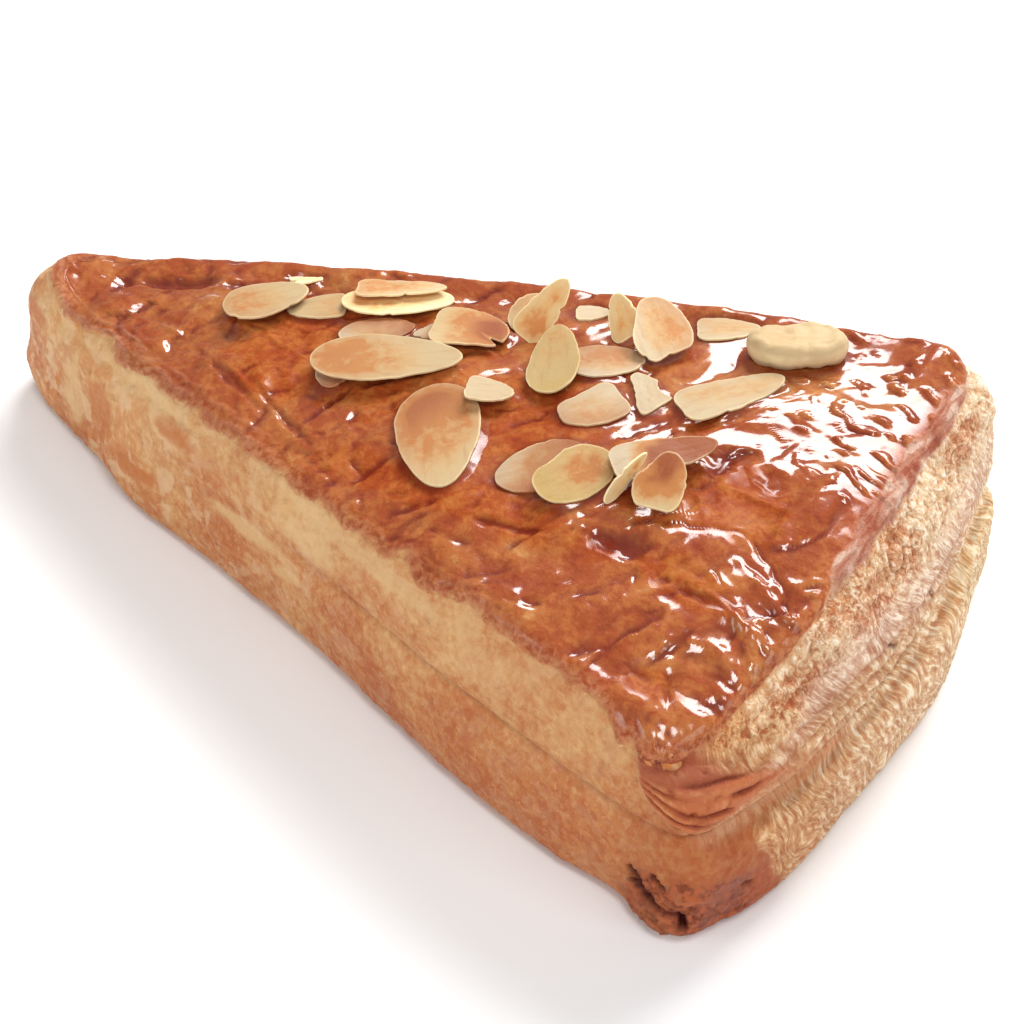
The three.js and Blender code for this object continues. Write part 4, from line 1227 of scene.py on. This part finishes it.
def baked_group():
    """Colour, roughness and normal of baked dough from the masks of the sides: tan skin with a fine grain,
    and cream to brown layers with fine threads along them."""
    tree = bpy.data.node_groups.new("baked_dough", "ShaderNodeTree")
    tree.interface.new_socket("Color", in_out="OUTPUT", socket_type="NodeSocketColor")
    tree.interface.new_socket("Roughness", in_out="OUTPUT", socket_type="NodeSocketFloat")
    tree.interface.new_socket("Normal", in_out="OUTPUT", socket_type="NodeSocketVector")
    leave = tree.nodes.new("NodeGroupOutput")
    where = position(tree)
    blotch = noise(tree, where, 12, 3.0, 0.55, 0.5)
    patch = noise(tree, where, 4.0, 3.0, 0.6, 0.6)
    speckle = noise(tree, where, 1.3, 3.0, 0.65)
    rough = noise(tree, position(tree, (1, 1, 0.8)), 0.8, 4.0, 0.6)
    upright = noise(tree, position(tree, (1, 1, 0.22)), 2.6, 3.0, 0.6, 0.4)
    lines = combine(tree, mask(tree, "threads", 1.8), mask(tree, "threads_along", 0.45))
    threads = noise(tree, lines, 1.0, 4.0, 0.65, 0.15)
    layer_lines = noise(tree, position(tree, (0.25, 0.25, 1)), 0.75, 4.0, 0.65, 0.3)
    threads = blend_values(tree, mask(tree, "lengthwise_layers"), threads, layer_lines)

    # skin: paler under the glaze and towards the tip, redder at the foot
    height = mask(tree, "height")
    lengthwise = mask(tree, "lengthwise")
    browning = varied(tree, spread(tree, height, 0.7, 0.1, 0.05, 0.5), blotch, 2.1)
    browning = calculate(tree, "MULTIPLY_ADD", lengthwise, 0.45, browning)
    browning = varied(tree, browning, patch, 0.9)
    browning = varied(tree, browning, speckle, 1.9)
    skin = stepped(
        tree, browning,
        (-0.2, (0.66, 0.38, 0.16)), (0.25, (0.58, 0.28, 0.105)), (0.65, (0.52, 0.19, 0.06)),
        (1.05, (0.45, 0.125, 0.038)),
    )
    streaky = times(tree, spread(tree, lengthwise, 0.45, 0.1), spread(tree, upright, 0.5, 0.62))
    towards_tip = spread(tree, lengthwise, 0.7, 0.15, 0.15, 0.65)
    wander = noise(tree, where, 3.4, 4.0, 0.55, 1.0)
    line = calculate(tree, "ABSOLUTE", calculate(tree, "SUBTRACT", wander, 0.5))
    line = times(tree, spread(tree, line, 0.012, 0.003), spread(tree, blotch, 0.46, 0.56, 0.0, 0.5))
    under_rim = times(tree, mask(tree, "under_rim"), spread(tree, patch, 0.35, 0.6, 0.05, 0.5))
    skin = coated(
        tree, skin,
        (times(tree, streaky, 0.75), (0.60, 0.22, 0.06)),
        (spread(tree, rough, 0.54, 0.7, 0.0, 0.4), (0.52, 0.185, 0.085)),
        (spread(tree, rough, 0.46, 0.32, 0.0, 0.25), (0.72, 0.47, 0.25)),
        (times(tree, towards_tip, spread(tree, patch, 0.5, 0.62)), (0.72, 0.49, 0.28)),
        (line, (0.38, 0.12, 0.05)),
        (under_rim, (0.68, 0.42, 0.19)),
        ("speck", 0.45, (0.42, 0.15, 0.07)),
        ("warm", 0.85, (0.50, 0.155, 0.04)),
        ("pale", 0.85, (0.70, 0.46, 0.22)),
    )

    # cut layers: brown in the valleys, cream on the crests; the threads are the dough's own strokes,
    # and the crest's share is painted highlight on the crests and painted shade in the valleys
    crest = mask(tree, "crest")
    flaky = mask(tree, "flaky")
    crumb = noise(tree, where, 0.9, 3.0, 0.65, 1.2)
    fleck = blend_values(tree, times(tree, flaky, 0.7), threads, crumb)
    light = calculate(tree, "SUBTRACT", fleck, 0.49)
    light = calculate(tree, "MULTIPLY_ADD", light, 4.6, times(tree, crest, 0.5))
    light = varied(tree, light, patch, 0.9)
    valley = blend_colours(tree, flaky, (0.50, 0.215, 0.09), (0.45, 0.15, 0.06))
    middle = blend_colours(tree, blotch, (0.63, 0.37, 0.18), (0.68, 0.44, 0.25))
    creamy = stepped(
        tree, light,
        (-0.3, (0.58, 0.29, 0.13)), (0.25, (0.76, 0.53, 0.32)), (0.9, (0.93, 0.82, 0.65)),
    )
    golden = stepped(
        tree, light,
        (-0.1, (0.54, 0.26, 0.09)), (0.35, (0.70, 0.49, 0.26)), (0.9, (0.84, 0.71, 0.47)),
    )
    brown = stepped(
        tree, light,
        (-0.1, (0.38, 0.10, 0.036)), (0.4, (0.56, 0.25, 0.11)), (0.9, (0.82, 0.60, 0.42)),
    )
    pinkness = calculate(tree, "MULTIPLY_ADD", mask(tree, "over_band"), 0.8, times(tree, light, 0.55))
    pink = stepped(
        tree, pinkness,
        (0.15, (0.42, 0.18, 0.11)), (0.55, (0.60, 0.36, 0.25)), (1.0, (0.88, 0.72, 0.60)),
    )
    cut = coated(
        tree, valley,
        (spread(tree, light, -0.3, 0.35), middle),
        (spread(tree, light, 0.3, 1.0), (0.90, 0.74, 0.54)),
        ("creamy", 0.75, creamy),
        # painted shade in the relief's dips
        ("dip_shade", 0.5, (0.40, 0.12, 0.045)),
        ("golden", 0.8, golden),
        ("browned", 0.8, brown),
        ("band", 0.75, pink),
    )

    # rolled layers at the fold's corner: darker towards the grooves, partly their own colour, partly painted
    # shade
    layers = stepped(
        tree, varied(tree, crest, patch, 1.0),
        (0.1, (0.22, 0.036, 0.011)), (0.55, (0.36, 0.082, 0.027)), (0.9, (0.45, 0.125, 0.043)),
        (1.2, (0.60, 0.24, 0.095)),
    )
    layers = coated(
        tree, layers,
        (spread(tree, speckle, 0.55, 0.75, 0.0, 0.5), (0.56, 0.22, 0.085)),
        (spread(tree, height, 0.63, 0.69, 0.0, 0.6), (0.27, 0.065, 0.036)),
        # painted shade in the narrow grooves
        ("groove", 0.8, (0.2, 0.035, 0.014)),
    )

    # all together, with the lip, the burnt foot, and painted shade in the cracks, the pits and the seam's
    # line
    tanned = mask(tree, "tanned")
    skin = multiplied(tree, tanned, skin, (0.72, 0.51, 0.41))
    cut = multiplied(tree, tanned, cut, (0.84, 0.66, 0.5))
    lip = stepped(tree, threads, (0.34, (0.43, 0.165, 0.068)), (0.6, (0.67, 0.42, 0.24)))
    char = stepped(tree, speckle, (0.38, (0.15, 0.022, 0.009)), (0.6, (0.40, 0.10, 0.037)))
    char = coated(tree, char, (spread(tree, mask(tree, "leaf"), 0.5, 0.95, 0.0, 0.45), (0.44, 0.15, 0.06)))
    lilac = times(tree, mask(tree, "lilac"), spread(tree, patch, 0.35, 0.6, 0.3, 0.85))
    dough = coated(
        tree, skin,
        ("face", coated(tree, cut, ("rolled", layers))),
        ("lip", 0.5, lip),
        ("burnt", 0.85, char),
        (lilac, (0.25, 0.085, 0.055)),
        ("hollow_shade", (0.075, 0.006, 0.003)),
    )
    unrolled = calculate(tree, "SUBTRACT", mask(tree, "face"), mask(tree, "rolled"))
    stranded = raised(tree, times(tree, fleck, unrolled), 0.0005)
    feed(tree, leave, {
        "Color": dough,
        "Roughness": spread(tree, speckle, 0.3, 0.7, 0.48, 0.66),
        "Normal": raised(tree, rough, 0.0003, stranded),
    })
    return tree


def crust_finish(baked):
    """Baked dough as the sides' masks paint it, nearly without a shine."""
    finish, tree, shader = new_finish("baked_crust")
    dough = add(tree, "ShaderNodeGroup", node_tree=baked)
    feed(tree, shader, {
        "Base Color": dough.outputs["Color"],
        "Roughness": dough.outputs["Roughness"],
        "Normal": dough.outputs["Normal"],
        "Specular IOR Level": 0.22,
    })
    return finish


def glaze_finish(grain, baked):
    """Browned egg wash: orange-brown plates, some yellower, red-brown in the creases, partly pooled glaze and
    partly painted shade, with a painted shadow line round the flakes, and rosy where it thins out over the
    dough, all under a clear gloss."""
    finish, tree, shader = new_finish("browned_glaze")
    where = position(tree)
    tone = mask(tree, "tone")
    inward = mask(tree, "inward")
    dough = add(tree, "ShaderNodeGroup", node_tree=baked)
    cloud = noise(tree, where, 9, 3.0, 0.55, 0.8)
    streak = noise(tree, where, 2.6, 4.0, 0.62, 0.8)
    fleck = noise(tree, where, 1.0, 4.0, 0.65, 0.3)
    light = calculate(tree, "MULTIPLY_ADD", cloud, 0.9, 0.12)
    light = calculate(tree, "MULTIPLY_ADD", tone, 0.2, light)
    light = varied(tree, light, streak, 0.9)
    light = varied(tree, light, fleck, 0.55)
    base = stepped(
        tree, light,
        (0.3, (0.25, 0.034, 0.008)), (0.55, (0.33, 0.062, 0.012)), (0.8, (0.42, 0.12, 0.026)),
        (1.08, (0.53, 0.235, 0.07)),
    )
    rosy = stepped(tree, fleck, (0.38, (0.30, 0.055, 0.022)), (0.62, (0.54, 0.22, 0.11)))
    near_tip = spread(tree, mask(tree, "lengthwise"), 0.6, 0.2, 0.1, 0.6)
    base = coated(
        tree, base,
        (spread(tree, fleck, 0.6, 0.75, 0.0, 0.3), (0.28, 0.045, 0.012)),
        # painted shade in the hollows and creases, partly pooled glaze, and the painted shadow line round the
        # flakes
        ("crease_and_shade", 0.85, (0.15, 0.012, 0.0045)),
        (spread(tree, inward, 0.55, 0.0, 0.0, 0.8), rosy),
        # lighter pink on the pleats' crests near the tip: partly the thinned glaze's own pink, partly painted
        # highlight
        (times(tree, mask(tree, "pleat"), near_tip), (0.52, 0.27, 0.18)),
    )

    # the border: ragged over the skin, sharper over the cut edges, with a waxy strip beside it
    raggedness = spread(tree, mask(tree, "face"), 0.0, 1.0, 1.5, 1.0)
    edge = varied(tree, mask(tree, "glazed"), streak, raggedness)
    edge = varied(tree, edge, fleck, 0.8)
    glazed = spread(tree, edge, 0.3, 0.85)
    streaky = noise(tree, position(tree, (1, 0.22, 0.6)), 1.4, 3.0, 0.6, 0.4)
    waxy = stepped(
        tree, streaky,
        (0.36, (0.34, 0.09, 0.05)), (0.5, (0.46, 0.20, 0.13)), (0.64, (0.64, 0.42, 0.32)),
    )
    rim = times(tree, spread(tree, edge, 0.25, 0.5), spread(tree, edge, 0.75, 0.5))
    rim = times(tree, rim, mask(tree, "rimmed"))
    base = coated(
        tree, dough.outputs["Color"],
        ("strip", waxy),
        (glazed, base),
        (rim, (0.64, 0.34, 0.13)),
    )
    gloss = times(tree, glazed, spread(tree, inward, 0.15, 0.6, 0.05, 1.0))
    gloss = times(tree, gloss, spread(tree, mask(tree, "dull"), 0.0, 1.0, 1.0, 0.02))
    smooth = fine_grain(tree, grain, 0.9, 0.00023)
    normal = add(
        tree, "ShaderNodeMix", data_type="VECTOR", in_0=glazed, in_4=dough.outputs["Normal"], in_5=smooth
    ).outputs[1]
    feed(tree, shader, {
        "Base Color": base,
        "Roughness": 0.5,
        "Specular IOR Level": 0.08,
        "Coat Weight": gloss,
        "Coat Roughness": 0.13,
        "Coat IOR": 1.65,
        "Normal": normal,
    })
    return finish


def almond_finish(name, grain, body, tan, heart):
    """Sliced almond: a heart colour that grows with toasting over a paler body, a lighter cut rim, partly the
    almond's own and partly painted light on the shaded side walls, lengthwise fibres, and a pinkish wet look
    where glaze has soaked in."""
    finish, tree, shader = new_finish(name)
    where = position(tree)
    toasted = mask(tree, "toasted")
    soaked = mask(tree, "soaked")
    cloud = noise(tree, where, 4.5, 2.0, 0.5, 0.3)
    fibre_place = combine(tree, mask(tree, "along", 1.2), mask(tree, "across", 9.0), cloud)
    fibres = noise(tree, fibre_place, 1.0, 3.0, 0.6, 0.3)
    mottle = noise(tree, where, 1.3, 3.0, 0.6, 0.4)
    warmth = times(tree, toasted, spread(tree, cloud, 0.3, 0.62, 0.72, 1.2))
    warmth = times(tree, warmth, spread(tree, mottle, 0.35, 0.65, 0.75, 1.2), clamp=True)
    yellow = times(tree, mask(tree, "yellow"), calculate(tree, "SUBTRACT", 0.9, warmth), clamp=True)
    from_edge = calculate(tree, "SUBTRACT", 1.0, mask(tree, "inside"))
    thin = times(tree, soaked, from_edge)
    # the rim's lighter colour: partly the cut almond's own, partly painted light on the shaded side walls
    paleness = spread(tree, cloud, 0.35, 0.6, 0.3, 0.75)
    paleness = calculate(tree, "SUBTRACT", paleness, times(tree, soaked, 0.6))
    edge = times(tree, mask(tree, "rim"), paleness, clamp=True)
    base = coated(
        tree, body,
        (spread(tree, warmth, 0.0, 0.55), tan),
        (spread(tree, warmth, 0.4, 1.0), heart),
        (spread(tree, toasted, 1.0, 1.8), (0.28, 0.068, 0.017)),
        (yellow, (0.47, 0.31, 0.10)),
        (spread(tree, fibres, 0.45, 0.8, 0.0, 0.3), (0.38, 0.165, 0.06)),
        (times(tree, soaked, 0.65), (0.40, 0.18, 0.09)),
        (times(tree, thin, 0.8), (0.34, 0.10, 0.03)),
        (edge, (0.80, 0.64, 0.38)),
    )
    # painted light: flakes that stand up or lie in a shadow are made paler
    base = multiplied(tree, mask(tree, "pale"), base, (1.75, 1.85, 1.8))
    feed(tree, shader, {
        "Base Color": base,
        "Roughness": 0.55,
        "Specular IOR Level": 0.25,
        "Subsurface Weight": 0.25,
        "Subsurface Radius": (1.0, 0.6, 0.35),
        "Subsurface Scale": 0.001,
        "Coat Weight": spread(tree, soaked, 0.05, 1.0),
        "Coat Roughness": 0.12,
        "Normal": fine_grain(tree, grain, 0.7, 0.00006),
    })
    return finish


# ---- stage ----


def make_camera():
    """A long lens that looks down on the fold's corner, with a slight roll."""
    back = Vector((
        math.sin(VIEW_AZIMUTH) * math.cos(VIEW_ELEVATION),
        -math.cos(VIEW_AZIMUTH) * math.cos(VIEW_ELEVATION),
        math.sin(VIEW_ELEVATION),
    ))
    level_right = Vector((math.cos(VIEW_AZIMUTH), math.sin(VIEW_AZIMUTH), 0))
    level_up = back.cross(level_right)
    right = level_right * math.cos(VIEW_ROLL) + level_up * math.sin(VIEW_ROLL)
    up = level_up * math.cos(VIEW_ROLL) - level_right * math.sin(VIEW_ROLL)
    data = bpy.data.cameras.new("camera")
    data.lens = LENS
    data.sensor_width = SENSOR_WIDTH
    camera = bpy.data.objects.new("camera", data)
    turn = Matrix((right, up, back)).transposed().to_4x4()
    camera.matrix_world = Matrix.Translation((Vector(VIEW_TARGET) + back * VIEW_DISTANCE) * MM) @ turn
    bpy.context.scene.collection.objects.link(camera)
    bpy.context.scene.camera = camera


def make_floor():
    """A wide plain sheet just under the part."""
    mesh = bpy.data.meshes.new("floor")
    half, z = 3.0, CAD_BOUNDS[0].z
    corners = [(-half, -half, z), (half, -half, z), (half, half, z), (-half, half, z)]
    mesh.from_pydata(corners, [], [(0, 1, 2, 3)])
    finish, tree, shader = new_finish("pale_floor")
    feed(tree, shader, {"Base Color": (0.95, 0.95, 0.95), "Roughness": 0.9, "Specular IOR Level": 0.1})
    mesh.materials.append(finish)
    floor = bpy.data.objects.new("floor", mesh)
    bpy.context.scene.collection.objects.link(floor)


def soft_light(name, direction, distance, width, height, watts):
    """A lamp that looks at the aim from a direction."""
    data = bpy.data.lights.new(name, "AREA")
    data.shape = "RECTANGLE"
    data.size, data.size_y = width, height
    data.energy = watts
    lamp = bpy.data.objects.new(name, data)
    away = Vector(direction).normalized()
    lamp.location = LAMP_AIM + away * distance
    lamp.rotation_mode = "QUATERNION"
    lamp.rotation_quaternion = away.to_track_quat("Z", "Y")
    bpy.context.scene.collection.objects.link(lamp)


def light_stage():
    world = bpy.data.worlds.new("surroundings")
    world.use_nodes = True
    world.node_tree.nodes["Background"].inputs["Color"].default_value = (1, 1, 1, 1)
    world.node_tree.nodes["Background"].inputs["Strength"].default_value = SURROUNDINGS
    bpy.context.scene.world = world
    bpy.context.scene.view_settings.view_transform = "Standard"
    for name, settings in LAMPS.items():
        soft_light(name, *settings)


grain_nodes = grain_group()
dough_nodes = baked_group()
crust = crust_finish(dough_nodes)
glaze = glaze_finish(grain_nodes, dough_nodes)
ALMOND_COLOURS = {
    "pale_almond": ((0.53, 0.43, 0.29), (0.53, 0.34, 0.165), (0.47, 0.20, 0.062)),
    "toasted_almond": ((0.54, 0.40, 0.22), (0.53, 0.32, 0.14), (0.46, 0.18, 0.05)),
}
almonds = {name: almond_finish(name, grain_nodes, *colours) for name, colours in ALMOND_COLOURS.items()}

make_camera()
make_floor()
light_stage()
pastry = make_pastry(crust)
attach(pastry, "root")
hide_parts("pastry")
slots = {part["node"]: part["material_slot"] for part in frame["record"]["subparts"]}
shapes = {}
for number in FLAKE_LOOKS:
    node = f"almond_flake_{number:02d}"
    shapes[number] = flake_shape(frame["nodes"][node], SINKING.get(number, 0), BITES.get(number, ()))
    make_flake(number, shapes[number], almonds[slots[node]])
glazed_top = make_glaze(glaze, shapes.values())
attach(glazed_top, "root")
